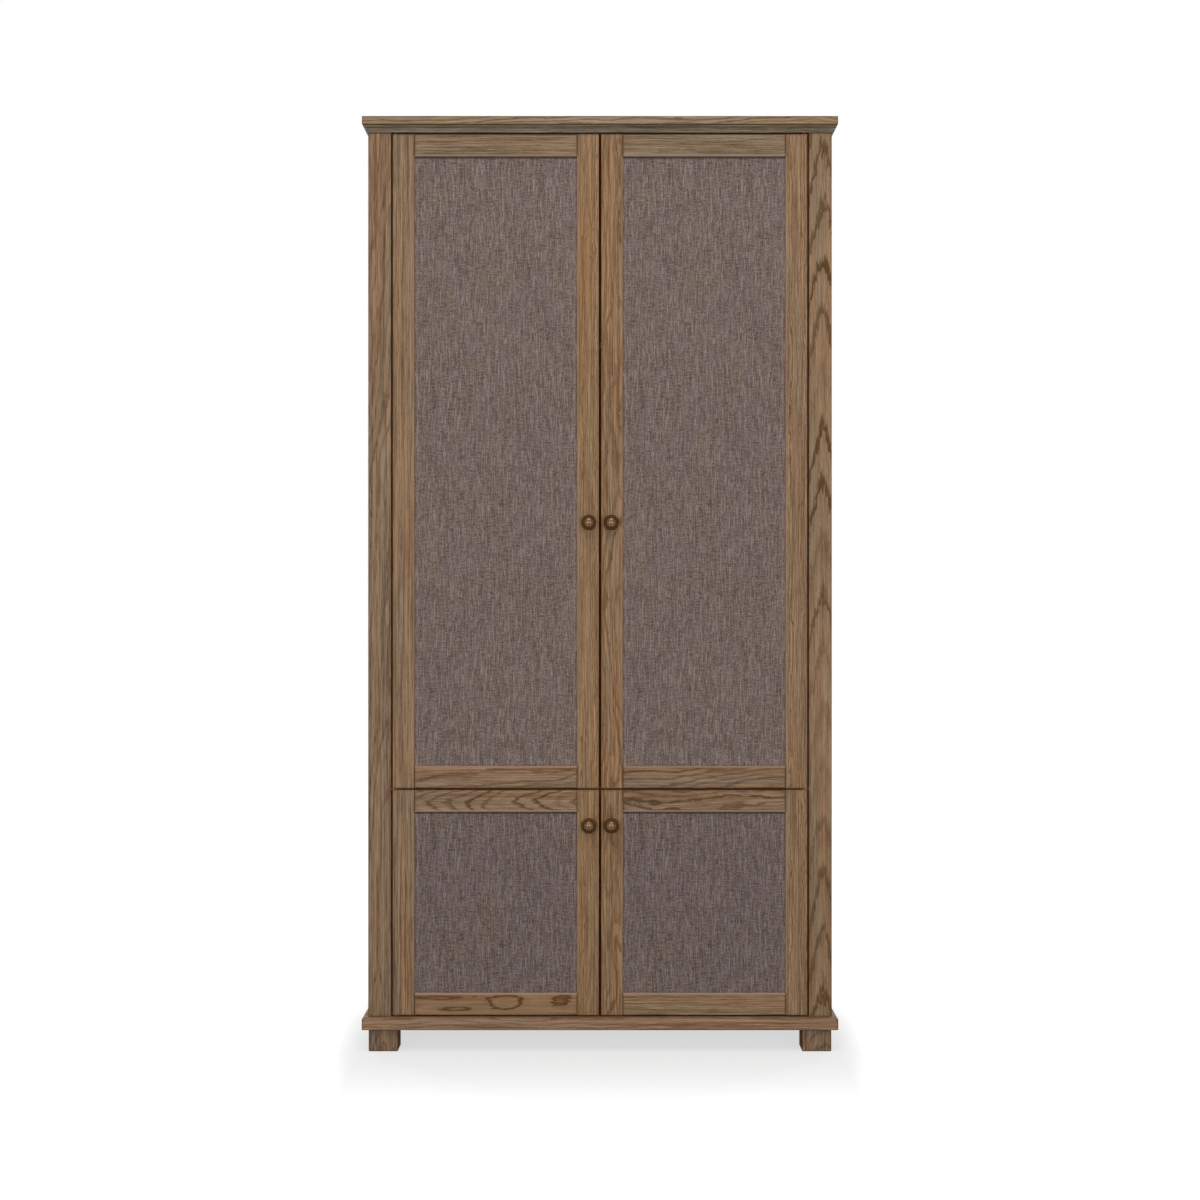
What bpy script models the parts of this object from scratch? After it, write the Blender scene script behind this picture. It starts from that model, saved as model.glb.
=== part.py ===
"""Tall cabinet with two long doors over two short ones, each a grooved frame round a cloth panel.

Metres, +Z up, front towards -Y. The origin is on the floor, under the middle of the whole object.
"""

import math

import bmesh
import bpy
from mathutils import Vector

# Whole cabinet
OVERALL_WIDTH = 1.070
OVERALL_HEIGHT = 2.1035
CABINET_DEPTH = 0.450       # front edge of the crown board to the back
OVERHANG = 0.013            # crown and base boards beyond the posts, at the front and sides
KNOB_REACH = 0.027          # front of a knob beyond the door face
GAP = 0.0003                # left between two pieces that touch

# Carcass
FOOT_SIZE = 0.066
FOOT_HEIGHT = 0.0505
FOOT_INSET = 0.001          # outer face of a foot inside the outer face of the post above
FOOT_ARRIS = 0.002
BASE_THICKNESS = 0.028
BASE_ROUND = 0.005          # radius along the top edge of the base board
BASE_ROUND_STEPS = 4
CROWN_THICKNESS = 0.019
POST_SIZE = 0.052
SIDE_PANEL_THICKNESS = 0.012
SIDE_PANEL_RECESS = 0.010   # panel face behind the outer face of the posts
SIDE_GROOVE_DEPTH = 0.008
BACK_PANEL_THICKNESS = 0.006
BACK_PANEL_RECESS = 0.018
BACK_GROOVE_DEPTH = 0.007

# Shelves
SHELF_THICKNESS = 0.018
UPPER_SHELF_COUNT = 2
HOUSING_DEPTH = 0.004       # how far the ends of the shelves are let into the side panels
MIDDLE_SHELF_SETBACK = 0.0025   # shelf edge behind the closed doors, clear of their swing
SHELF_SETBACK = 0.010       # the same for the other shelves

# Moulded rails under the crown board: a lip, a hollow and a fillet, reaching beyond the posts
CORNICE_HEIGHT = 0.016
CORNICE_INWARD = 0.045      # how far the rails run in under the crown board
CORNICE_LIP_REACH = 0.0035
CORNICE_LIP_HEIGHT = 0.0045
CORNICE_FILLET_REACH = 0.010
HOLLOW_RADIUS = 0.0075
HOLLOW_END = 98             # angle in degrees where the hollow meets the fillet
HOLLOW_STEPS = 5

# Doors
DIVISION_HEIGHT = 0.5910    # middle of the gap between the long and the short doors
DOOR_THICKNESS = 0.022
MEMBER_WIDTH = 0.050        # stiles and rails alike
LEVEL_GAP = 0.003           # above, below and between the doors
SIDE_GAP = 0.0025
CENTRE_GAP = 0.0035
LIP = 0.0045                # wood in front of the panel groove
GROOVE_WIDTH = 0.007
GROOVE_DEPTH = 0.008

# Knobs
UPPER_KNOB_HEIGHT = 1.1905
LOWER_KNOB_HEIGHT = 0.5100
KNOB_FROM_EDGE = 0.0235     # knob axis in from the door edge at the middle of the cabinet
STUD_RADIUS = 0.002
STUD_LENGTH = 0.015
DOME_WIDTH = 0.0108         # radius of the dome where it rises out of its groove
DOME_RISE = 0.0039
KNOB_SHARP_ANGLE = math.radians(40)

# Pivot hinges
PIVOT_FROM_EDGE = 0.008     # pin axis in from the hinge edge of the door
PIVOT_FROM_FACE = 0.006     # pin axis behind the door face
PIVOT_RADIUS = 0.0025
PIVOT_PLAY = 0.0001
PIVOT_BITE = 0.0055         # pin inside the door
PIN_END_PLAY = 0.0009       # hole past the end of its pin
LEAF_HALF_WIDTH = 0.004
LEAF_LENGTH = 0.032
LEAF_THICKNESS = 0.0025
MIDDLE_PLATE_THICKNESS = 0.002
MIDDLE_PLATE_TENON = 0.020  # length of the middle plate inside the post

# Catches
CATCH_WIDTH = 0.070
CATCH_HEIGHT = 0.014
CATCH_DEPTH = 0.014
POLE_WIDTH = 0.022
POLE_RISE = 0.001
POLE_FROM_MIDDLE = 0.021    # middle of a pole from the middle of its catch
STRIKE_WIDTH = 0.024
STRIKE_HEIGHT = 0.010
STRIKE_RISE = 0.0012
STRIKE_DROP = 0.003         # middle of a strike below the middle of its catch

# Edges and round work
ARRIS = 0.0012
BOARD_ARRIS = 0.0015
ARRIS_STEPS = 2
ROUND_STEPS = 32
SMALL_STEPS = 16
OVERSHOOT = 0.005           # how far a cutter starts outside the wood
WELD = 0.00001              # points closer than this become one

# Planes worked out from the sizes above
BACK_Y = (CABINET_DEPTH - OVERHANG + KNOB_REACH) / 2
FRONT_Y = KNOB_REACH - BACK_Y
BOARD_FRONT_Y = FRONT_Y - OVERHANG
BODY_HALF = OVERALL_WIDTH / 2 - OVERHANG
OPENING_HALF = BODY_HALF - POST_SIZE
BASE_TOP = FOOT_HEIGHT + BASE_THICKNESS
CROWN_BOTTOM = OVERALL_HEIGHT - CROWN_THICKNESS
CORNICE_BOTTOM = CROWN_BOTTOM - CORNICE_HEIGHT
DOOR_BACK_Y = FRONT_Y + DOOR_THICKNESS
DOOR_EDGE = OPENING_HALF - SIDE_GAP
DOOR_WIDTH = DOOR_EDGE - CENTRE_GAP / 2
PIVOT_X = DOOR_EDGE - PIVOT_FROM_EDGE
PIVOT_Y = FRONT_Y + PIVOT_FROM_FACE
FRONT_POST_BACK_Y = FRONT_Y + POST_SIZE
BACK_POST_FRONT_Y = BACK_Y - POST_SIZE
SIDE_PANEL_OUTER = BODY_HALF - SIDE_PANEL_RECESS
SIDE_PANEL_INNER = SIDE_PANEL_OUTER - SIDE_PANEL_THICKNESS
BACK_PANEL_BACK_Y = BACK_Y - BACK_PANEL_RECESS
BACK_PANEL_FRONT_Y = BACK_PANEL_BACK_Y - BACK_PANEL_THICKNESS
MIDDLE_SHELF_BOTTOM = DIVISION_HEIGHT - SHELF_THICKNESS / 2
MIDDLE_SHELF_TOP = DIVISION_HEIGHT + SHELF_THICKNESS / 2

# Finishes: colour as seen (red, green, blue from 0 to 255), roughness, metallic
OAK_LIGHT = ((142, 120, 96), 0.55, 0.0)
OAK_DOOR = ((136, 109, 84), 0.55, 0.0)
OAK_POST = ((125, 101, 80), 0.58, 0.0)
OAK_BASE = ((127, 98, 76), 0.58, 0.0)
OAK_INSIDE = ((132, 112, 90), 0.65, 0.0)
PLYWOOD = ((138, 118, 95), 0.70, 0.0)
LINEN_UPPER = ((117, 101, 95), 0.95, 0.0)
LINEN_LOWER = ((105, 91, 86), 0.95, 0.0)
AGED_BRASS = ((98, 76, 48), 0.38, 1.0)
HINGE_BRONZE = ((74, 62, 50), 0.45, 1.0)
CATCH_BROWN = ((58, 46, 38), 0.50, 0.0)


def clear_scene():
    """Start from an empty scene."""
    for thing in list(bpy.data.objects):
        bpy.data.objects.remove(thing, do_unlink=True)


def linear(value):
    """Turn one 0-255 screen value into scene-linear light."""
    share = value / 255
    return share / 12.92 if share <= 0.04045 else ((share + 0.055) / 1.055) ** 2.4


def give_finish(piece, finish):
    """Give a piece its own material."""
    colour, roughness, metallic = finish
    material = bpy.data.materials.new(piece.name)
    material.use_nodes = True
    shader = material.node_tree.nodes["Principled BSDF"]
    shader.inputs["Base Color"].default_value = (*[linear(value) for value in colour], 1.0)
    shader.inputs["Roughness"].default_value = roughness
    shader.inputs["Metallic"].default_value = metallic
    piece.data.materials.append(material)


def new_piece(name, mesh_builder, place, finish, parent=None):
    """Turn a bmesh into a named object at a place, under a parent if it has one."""
    bmesh.ops.recalc_face_normals(mesh_builder, faces=mesh_builder.faces)
    mesh = bpy.data.meshes.new(name)
    mesh_builder.to_mesh(mesh)
    mesh_builder.free()
    piece = bpy.data.objects.new(name, mesh)
    bpy.context.collection.objects.link(piece)
    piece.location = place
    piece.parent = parent
    if finish:
        give_finish(piece, finish)
    return piece


def new_tool(name, mesh_builder, place, parent=None):
    """A shape that only cuts or joins another piece."""
    tool = new_piece(name, mesh_builder, place, None, parent)
    tool.hide_render = True
    tool.display_type = "WIRE"
    return tool


def combine(piece, tool, operation):
    """Cut a tool out of a piece, or join it on."""
    boolean = piece.modifiers.new(tool.name, "BOOLEAN")
    boolean.operation = operation
    boolean.solver = "EXACT"
    boolean.object = tool


def ease_arrises(piece, width):
    """Round all the sharp edges of a board a little."""
    bevel = piece.modifiers.new("arris", "BEVEL")
    bevel.width = width
    bevel.segments = ARRIS_STEPS
    bevel.limit_method = "ANGLE"


def loft(rings):
    """Skin equal rings of points one after another, and cap both ends."""
    builder = bmesh.new()
    rows = [[builder.verts.new(point) for point in ring] for ring in rings]
    for here, there in zip(rows, rows[1:]):
        for index in range(len(here)):
            following = (index + 1) % len(here)
            builder.faces.new((here[index], here[following], there[following], there[index]))
    builder.faces.new(rows[0])
    builder.faces.new(rows[-1])
    return builder


def prism(outline, height):
    """Stand a flat outline up along Z."""
    builder = bmesh.new()
    floor = builder.faces.new([builder.verts.new((*point, 0)) for point in outline])
    raised = bmesh.ops.extrude_face_region(builder, geom=[floor])["geom"]
    top = [item for item in raised if isinstance(item, bmesh.types.BMVert)]
    bmesh.ops.translate(builder, verts=top, vec=(0, 0, height))
    return builder


def box(low, high):
    """A plain block between two corners."""
    builder = bmesh.new()
    bmesh.ops.create_cube(builder, size=1)
    size = Vector(high) - Vector(low)
    bmesh.ops.scale(builder, vec=size, verts=builder.verts)
    bmesh.ops.translate(builder, vec=Vector(low) + size / 2, verts=builder.verts)
    return builder


def board(name, low, high, finish, arris=BOARD_ARRIS):
    """A squared board between two corners of the cabinet, placed by its middle."""
    middle = (Vector(low) + Vector(high)) / 2
    piece = new_piece(name, box(Vector(low) - middle, Vector(high) - middle), middle, finish)
    ease_arrises(piece, arris)
    return piece


def arc(centre, radius, first, last, steps):
    """Points of a circular arc between two angles in degrees."""
    points = []
    for step in range(steps + 1):
        angle = math.radians(first + (last - first) * step / steps)
        points.append((centre[0] + radius * math.cos(angle), centre[1] + radius * math.sin(angle)))
    return points


def squared_section(width, depth, slots):
    """Section of a squared member with rounded arrises, anticlockwise from its front left corner.

    A slot is cut into the front (0), right (1), back (2) or left (3) side. It is given by how far
    its middle is along that side, its width and its depth.
    """
    corners = [Vector((0, 0)), Vector((width, 0)), Vector((width, depth)), Vector((0, depth))]
    outline = []
    for side, corner in enumerate(corners):
        along = (corners[(side + 1) % 4] - corner).normalized()
        inward = Vector((-along.y, along.x))
        turn = 90 * side
        outline += arc(corner + (along + inward) * ARRIS, ARRIS, 180 + turn, 270 + turn, ARRIS_STEPS)
        if side in slots:
            middle, slot_width, slot_depth = slots[side]
            for end, sink in ((-1, 0), (-1, 1), (1, 1), (1, 0)):
                mouth = corner + along * (middle + end * slot_width / 2)
                outline.append(tuple(mouth + inward * sink * slot_depth))
    return outline


def turned_pin(radius, height, steps=SMALL_STEPS):
    """A round pin along Z whose flats, not corners, lie on the radius."""
    corner_radius = radius / math.cos(math.pi / steps)
    half_step = 180 / steps
    return prism(arc((0, 0), corner_radius, half_step, 360 - half_step, steps - 1), height)


# Carcass pieces


def make_crown_board():
    half = OVERALL_WIDTH / 2
    board("crown_board", (-half, BOARD_FRONT_Y, CROWN_BOTTOM + GAP), (half, BACK_Y, OVERALL_HEIGHT),
          OAK_LIGHT)


def cornice_section():
    """Profile of the moulded rail as (reach beyond the posts, height), from the back, upwards last.

    A narrow lip carries a hollow, which carries the fillet under the crown board.
    """
    hollow_centre = (CORNICE_LIP_REACH + HOLLOW_RADIUS, CORNICE_LIP_HEIGHT)
    return [
        (-CORNICE_INWARD, 0),
        (CORNICE_LIP_REACH - ARRIS, 0),
        (CORNICE_LIP_REACH, ARRIS),
        *arc(hollow_centre, HOLLOW_RADIUS, 180, HOLLOW_END, HOLLOW_STEPS),
        (CORNICE_FILLET_REACH, CORNICE_LIP_HEIGHT + HOLLOW_RADIUS),
        (CORNICE_FILLET_REACH, CORNICE_HEIGHT),
        (-CORNICE_INWARD, CORNICE_HEIGHT),
    ]


def make_cornice():
    """Three moulded rails in a mitred frame between the posts and the crown board."""
    section = cornice_section()
    mitre = GAP / math.sqrt(2)
    front = [
        [(end * (BODY_HALF + reach - mitre), -reach, height) for reach, height in section]
        for end in (-1, 1)
    ]
    new_piece("cornice_front", loft(front), (0, FRONT_Y, CORNICE_BOTTOM), OAK_LIGHT)
    for name, side in (("cornice_left", -1), ("cornice_right", 1)):
        mitred = [(side * reach, FRONT_Y - reach + mitre, height) for reach, height in section]
        square = [(side * reach, BACK_Y, height) for reach, height in section]
        new_piece(name, loft([mitred, square]), (side * BODY_HALF, 0, CORNICE_BOTTOM), OAK_LIGHT)


def make_posts():
    """Four corner posts, grooved for the side panels and the back panel."""
    side_groove = (SIDE_PANEL_RECESS + SIDE_PANEL_THICKNESS / 2, SIDE_PANEL_THICKNESS + 2 * GAP,
                   SIDE_GROOVE_DEPTH)
    back_groove = (BACK_PANEL_RECESS + BACK_PANEL_THICKNESS / 2, BACK_PANEL_THICKNESS + 2 * GAP,
                   BACK_GROOVE_DEPTH)
    front_section = squared_section(POST_SIZE, POST_SIZE, {2: side_groove})
    mirrored_groove = (POST_SIZE - side_groove[0], side_groove[1], side_groove[2])
    back_section = squared_section(POST_SIZE, POST_SIZE, {0: mirrored_groove, 3: back_groove})
    height = CORNICE_BOTTOM - BASE_TOP - 2 * GAP
    for side_name, side in (("left", -1), ("right", 1)):
        for end_name, section, front_y in (("front", front_section, FRONT_Y),
                                           ("back", back_section, BACK_POST_FRONT_Y)):
            outline = [(side * (across - POST_SIZE), along) for across, along in section]
            place = (side * BODY_HALF, front_y, BASE_TOP + GAP)
            post = new_piece(f"{end_name}_post_{side_name}", prism(outline, height), place, OAK_POST)
            if end_name == "front":
                mortise_for_middle_pivot(post, side_name, side)


def mortise_for_middle_pivot(post, side_name, side):
    """Slot in the inner face of a front post for the tenon of the middle pivot plate."""
    half_width = LEAF_HALF_WIDTH + GAP
    half_height = MIDDLE_PLATE_THICKNESS / 2 + GAP
    ends = sorted((side * (OPENING_HALF - OVERSHOOT), side * (OPENING_HALF + MIDDLE_PLATE_TENON + GAP)))
    slot = box((ends[0], PIVOT_Y - half_width, DIVISION_HEIGHT - half_height),
               (ends[1], PIVOT_Y + half_width, DIVISION_HEIGHT + half_height))
    combine(post, new_tool(f"middle_pivot_mortise_{side_name}", slot, (0, 0, 0)), "DIFFERENCE")


def make_side_panels(undersides):
    """Flat panels held in the grooves of the posts, housed for the ends of the shelves."""
    tongue = SIDE_GROOVE_DEPTH - GAP
    for name, side in (("left", -1), ("right", 1)):
        inner, outer = sorted((side * SIDE_PANEL_INNER, side * SIDE_PANEL_OUTER))
        panel = board(f"side_panel_{name}",
                      (inner, FRONT_POST_BACK_Y - tongue, BASE_TOP + GAP),
                      (outer, BACK_POST_FRONT_Y + tongue, CORNICE_BOTTOM - GAP),
                      OAK_POST, arris=ARRIS / 2)
        ends = sorted((side * (SIDE_PANEL_INNER - OVERSHOOT), side * (SIDE_PANEL_INNER + HOUSING_DEPTH)))
        for shelf, underside in undersides.items():
            housing = box((ends[0], FRONT_POST_BACK_Y, underside - GAP),
                          (ends[1], BACK_POST_FRONT_Y, underside + SHELF_THICKNESS + GAP))
            combine(panel, new_tool(f"{shelf}_housing_{name}", housing, (0, 0, 0)), "DIFFERENCE")


def make_back_panel():
    half = OPENING_HALF + BACK_GROOVE_DEPTH - 2 * GAP
    board("back_panel", (-half, BACK_PANEL_FRONT_Y, BASE_TOP + GAP),
          (half, BACK_PANEL_BACK_Y, CROWN_BOTTOM), PLYWOOD, arris=ARRIS / 2)


def make_base_board():
    """Base board with a rounded top edge, cut for the two bottom pivots."""
    half = OVERALL_WIDTH / 2
    middle_y = (BOARD_FRONT_Y + BACK_Y) / 2
    builder = box((-half, BOARD_FRONT_Y - middle_y, FOOT_HEIGHT), (half, BACK_Y - middle_y, BASE_TOP))
    middle_height = (FOOT_HEIGHT + BASE_TOP) / 2
    upper = [edge for edge in builder.edges if all(vert.co.z > middle_height for vert in edge.verts)]
    shown = [edge for edge in upper if any(vert.co.y < 0 for vert in edge.verts)]
    bmesh.ops.bevel(builder, geom=shown, offset=BASE_ROUND, segments=BASE_ROUND_STEPS, profile=0.5,
                    affect="EDGES")
    lower = [edge for edge in builder.edges if all(vert.co.z < middle_height for vert in edge.verts)]
    bmesh.ops.bevel(builder, geom=lower, offset=ARRIS, segments=1, profile=0.5, affect="EDGES")
    base = new_piece("base_board", builder, (0, middle_y, 0), OAK_BASE)
    for name, side in (("left", -1), ("right", 1)):
        pocket = leaf_pocket(f"bottom_pivot_pocket_{name}", side, BASE_TOP, -1)
        combine(base, pocket, "DIFFERENCE")


def make_feet():
    """Four square block feet under the posts."""
    outer = BODY_HALF - FOOT_INSET
    for side_name, side in (("left", -1), ("right", 1)):
        for end_name, front_y in (("front", FRONT_Y), ("back", BACK_Y - FOOT_SIZE)):
            left, right = sorted((side * outer, side * (outer - FOOT_SIZE)))
            board(f"{end_name}_foot_{side_name}", (left, front_y, 0),
                  (right, front_y + FOOT_SIZE, FOOT_HEIGHT - GAP), OAK_BASE, arris=FOOT_ARRIS)


def shelf_outline(front_y):
    """Plan of a shelf let into the side panels and notched round the four posts."""
    outer = SIDE_PANEL_INNER + HOUSING_DEPTH - GAP
    inner = OPENING_HALF - GAP
    front_notch = FRONT_POST_BACK_Y + GAP
    back_notch = BACK_POST_FRONT_Y - GAP
    back_y = BACK_PANEL_FRONT_Y - GAP
    right = [(inner, front_y), (inner, front_notch), (outer, front_notch), (outer, back_notch),
             (inner, back_notch), (inner, back_y)]
    left = [(-across, along) for across, along in reversed(right)]
    return right + left


def make_shelves(undersides):
    """The shelves, their front edges a little behind the closed doors."""
    for name, underside in undersides.items():
        setback = MIDDLE_SHELF_SETBACK if name == "middle_shelf" else SHELF_SETBACK
        outline = shelf_outline(DOOR_BACK_Y + setback)
        shelf = new_piece(name, prism(outline, SHELF_THICKNESS), (0, 0, underside), OAK_INSIDE)
        ease_arrises(shelf, ARRIS)


def shelf_undersides():
    """Undersides of the shelves by name, spread evenly above and below the middle shelf."""
    upper_clear = CROWN_BOTTOM - MIDDLE_SHELF_TOP - UPPER_SHELF_COUNT * SHELF_THICKNESS
    upper_step = upper_clear / (UPPER_SHELF_COUNT + 1) + SHELF_THICKNESS
    lower_clear = MIDDLE_SHELF_BOTTOM - BASE_TOP - SHELF_THICKNESS
    undersides = {"lower_shelf": BASE_TOP + lower_clear / 2, "middle_shelf": MIDDLE_SHELF_BOTTOM}
    for index in range(UPPER_SHELF_COUNT):
        underside = MIDDLE_SHELF_TOP + upper_step * (index + 1) - SHELF_THICKNESS
        undersides[f"upper_shelf_{index + 1}"] = underside
    return undersides


# Pivot hinges


def leaf_outline(side, half_width, length):
    """Plan of a hinge leaf: round about the pin, square at its inner end."""
    round_end = arc((0, 0), half_width, 90, 270, SMALL_STEPS // 2)
    square_end = [(length, -half_width), (length, half_width)]
    return [(-side * inward, along) for inward, along in round_end + square_end]


def leaf_pocket(name, side, surface, direction, parent=None):
    """Recess for a leaf, sunk from a surface upwards (1) or downwards (-1)."""
    sink = LEAF_THICKNESS + GAP
    outline = leaf_outline(side, LEAF_HALF_WIDTH + GAP, LEAF_LENGTH + GAP)
    low = surface - (sink if direction < 0 else OVERSHOOT)
    place = (side * PIVOT_X, PIVOT_Y, low)
    if parent:
        place = Vector(place) - parent.location
    return new_tool(name, prism(outline, sink + OVERSHOOT), place, parent)


def carcass_leaf(name, side, surface, direction):
    """Fixed leaf let flush into a surface, with a shoulder and a pin that stand out of it."""
    away = -direction
    leaf = prism(leaf_outline(side, LEAF_HALF_WIDTH, LEAF_LENGTH), LEAF_THICKNESS)
    place = (side * PIVOT_X, PIVOT_Y, min(surface, surface + direction * LEAF_THICKNESS))
    piece = new_piece(name, leaf, place, HINGE_BRONZE)
    shoulder_height = LEVEL_GAP - GAP
    pin_height = LEVEL_GAP + PIVOT_BITE
    inside = LEAF_THICKNESS / 2
    for part_name, radius, height in (("shoulder", LEAF_HALF_WIDTH - GAP, shoulder_height),
                                      ("pin", PIVOT_RADIUS, pin_height)):
        start = surface - place[2] - away * inside
        low = min(start, start + away * (height + inside))
        round_part = new_tool(f"{name}_{part_name}", turned_pin(radius, height + inside),
                              (place[0], place[1], place[2] + low))
        combine(piece, round_part, "UNION")


def make_carcass_pivots():
    """Top and bottom leaves in the cornice and base, and the plate between the doors."""
    cornice = bpy.data.objects["cornice_front"]
    for name, side in (("left", -1), ("right", 1)):
        combine(cornice, leaf_pocket(f"top_pivot_pocket_{name}", side, CORNICE_BOTTOM, 1), "DIFFERENCE")
        carcass_leaf(f"top_pivot_{name}", side, CORNICE_BOTTOM, 1)
        carcass_leaf(f"bottom_pivot_{name}", side, BASE_TOP, -1)
        make_middle_pivot(f"middle_pivot_{name}", side)


def make_middle_pivot(name, side):
    """Thin plate tenoned into the post, with a pin up and down for a long and a short door."""
    length = OPENING_HALF + MIDDLE_PLATE_TENON - PIVOT_X
    outline = [(-across, along) for across, along in leaf_outline(side, LEAF_HALF_WIDTH, length)]
    place = (side * PIVOT_X, PIVOT_Y, DIVISION_HEIGHT - MIDDLE_PLATE_THICKNESS / 2)
    plate = new_piece(name, prism(outline, MIDDLE_PLATE_THICKNESS), place, HINGE_BRONZE)
    half_height = LEVEL_GAP / 2 + PIVOT_BITE
    pin = new_tool(f"{name}_pin", turned_pin(PIVOT_RADIUS, 2 * half_height),
                   (place[0], place[1], DIVISION_HEIGHT - half_height))
    combine(plate, pin, "UNION")


# Catches


def make_catch(name, top):
    """Double magnetic catch, one pole for each door of a pair."""
    half = CATCH_WIDTH / 2
    front = []
    for middle in (-POLE_FROM_MIDDLE, POLE_FROM_MIDDLE):
        left, right = middle - POLE_WIDTH / 2, middle + POLE_WIDTH / 2
        front += [(left, POLE_RISE), (left, 0), (right, 0), (right, POLE_RISE)]
    outline = [(-half, POLE_RISE), *front, (half, POLE_RISE), (half, CATCH_DEPTH), (-half, CATCH_DEPTH)]
    place = (0, DOOR_BACK_Y + STRIKE_RISE + GAP, top - CATCH_HEIGHT - GAP)
    new_piece(name, prism(outline, CATCH_HEIGHT), place, CATCH_BROWN)


# Doors


def make_pivot_axis(name, side, bottom):
    """Empty on the pin axis, which carries the whole door."""
    axis = bpy.data.objects.new(name, None)
    bpy.context.collection.objects.link(axis)
    axis.location = (side * PIVOT_X, PIVOT_Y, bottom)
    return axis


def from_hinge_edge(side, inward):
    """Place across the door, seen from its pin axis, at a distance in from its hinge edge."""
    return side * (PIVOT_FROM_EDGE - inward)


def door_member_section():
    """Section of a stile or rail: outer edge at 0, groove for the panel in the inner edge."""
    groove = (LIP + GROOVE_WIDTH / 2, GROOVE_WIDTH, GROOVE_DEPTH)
    return squared_section(MEMBER_WIDTH, DOOR_THICKNESS, {1: groove})


def make_stile(name, axis, side, height, is_outer):
    """Upright of a door frame, over the whole height of the door."""
    outline = []
    for across, along in door_member_section():
        inward = across if is_outer else DOOR_WIDTH - across
        outline.append((from_hinge_edge(side, inward), along - PIVOT_FROM_FACE))
    return new_piece(name, prism(outline, height), (0, 0, 0), OAK_DOOR, axis)


def make_rail(name, axis, side, edge, upwards):
    """Cross member between the stiles, with stub tenons in their grooves.

    Its outer edge is at the given height, and its groove looks up (1) or down (-1).
    """
    inner_ends = (MEMBER_WIDTH + GAP, DOOR_WIDTH - MEMBER_WIDTH - GAP)
    rings = []
    for inward in inner_ends:
        across = from_hinge_edge(side, inward)
        rings.append([(across, along - PIVOT_FROM_FACE, upwards * rise)
                      for rise, along in door_member_section()])
    rail = new_piece(name, loft(rings), (0, 0, edge), OAK_DOOR, axis)
    tenon = GROOVE_DEPTH - GAP
    ends = sorted(from_hinge_edge(side, inward) for inward in
                  (inner_ends[0] - tenon, inner_ends[1] + tenon))
    levels = sorted((0, upwards * (MEMBER_WIDTH - GROOVE_DEPTH - GAP)))
    front = LIP + GAP - PIVOT_FROM_FACE
    back = LIP + GROOVE_WIDTH - GAP - PIVOT_FROM_FACE
    tongue = new_tool(f"{name}_tongue", box((ends[0], front, levels[0]), (ends[1], back, levels[1])),
                      (0, 0, edge), axis)
    combine(rail, tongue, "UNION")


def make_fabric_panel(name, axis, side, height, finish):
    """Board with cloth stretched over it, held in the grooves all round."""
    hidden = GROOVE_DEPTH - GAP
    first = MEMBER_WIDTH - hidden
    across = sorted((from_hinge_edge(side, first), from_hinge_edge(side, DOOR_WIDTH - first)))
    front = LIP + GAP - PIVOT_FROM_FACE
    back = LIP + GROOVE_WIDTH - GAP - PIVOT_FROM_FACE
    low = Vector((across[0], front, first))
    high = Vector((across[1], back, height - first))
    middle = (low + high) / 2
    panel = new_piece(name, box(low - middle, high - middle), middle, finish, axis)
    ease_arrises(panel, ARRIS)


def knob_profile():
    """Half profile of a knob as (radius, distance out from the door), from its stud to its crown.

    A beaded rose lies on the door. A hollow neck carries the head, with a rolled rim and a low dome in
    a fine groove.
    """
    stud = [(0, -STUD_LENGTH), (STUD_RADIUS, -STUD_LENGTH), (STUD_RADIUS, GAP)]
    rose = [(0.0106, GAP)] + arc((0.0102, 0.0013), 0.0010, -45, 90, 2)
    neck = arc((0.0118, 0.0086), 0.0062, 255, 128, 4)
    swell = [(0.0112, 0.0151)]
    rim = arc((0.0142, 0.0188), 0.0030, -80, 85, 5)
    groove = [(0.0126, 0.0225), (0.0117, 0.0221)]
    ball_radius = (DOME_WIDTH ** 2 + DOME_RISE ** 2) / (2 * DOME_RISE)
    edge_angle = math.degrees(math.acos(DOME_WIDTH / ball_radius))
    dome = arc((0, KNOB_REACH - ball_radius), ball_radius, edge_angle, 90, 4)
    return stud + rose + neck + swell + rim + groove + dome


def make_knob(name, axis, side, height):
    """Turned knob on the inner stile, its stud through the wood, with the hole for it."""
    builder = bmesh.new()
    verts = [builder.verts.new((radius, -out, 0)) for radius, out in knob_profile()]
    edges = [builder.edges.new(pair) for pair in zip(verts, verts[1:])]
    bmesh.ops.spin(builder, geom=verts + edges, cent=(0, 0, 0), axis=(0, 1, 0),
                   angle=math.tau, steps=ROUND_STEPS, use_merge=True)
    bmesh.ops.remove_doubles(builder, verts=builder.verts, dist=WELD)
    across = from_hinge_edge(side, DOOR_WIDTH - KNOB_FROM_EDGE)
    place = (across, -PIVOT_FROM_FACE, height - axis.location.z)
    knob = new_piece(name, builder, place, AGED_BRASS, axis)
    knob.data.shade_smooth()
    knob.data.set_sharp_from_angle(angle=KNOB_SHARP_ANGLE)
    return place


def drill_for_stud(stile, axis, place):
    """Hole through the inner stile for the knob's stud."""
    hole = turned_pin(STUD_RADIUS + GAP, DOOR_THICKNESS + 2 * OVERSHOOT)
    tool = new_tool(f"{stile.name}_stud_hole", hole, (place[0], place[1] - OVERSHOOT, place[2]), axis)
    tool.rotation_euler = (-math.pi / 2, 0, 0)
    combine(stile, tool, "DIFFERENCE")


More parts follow.
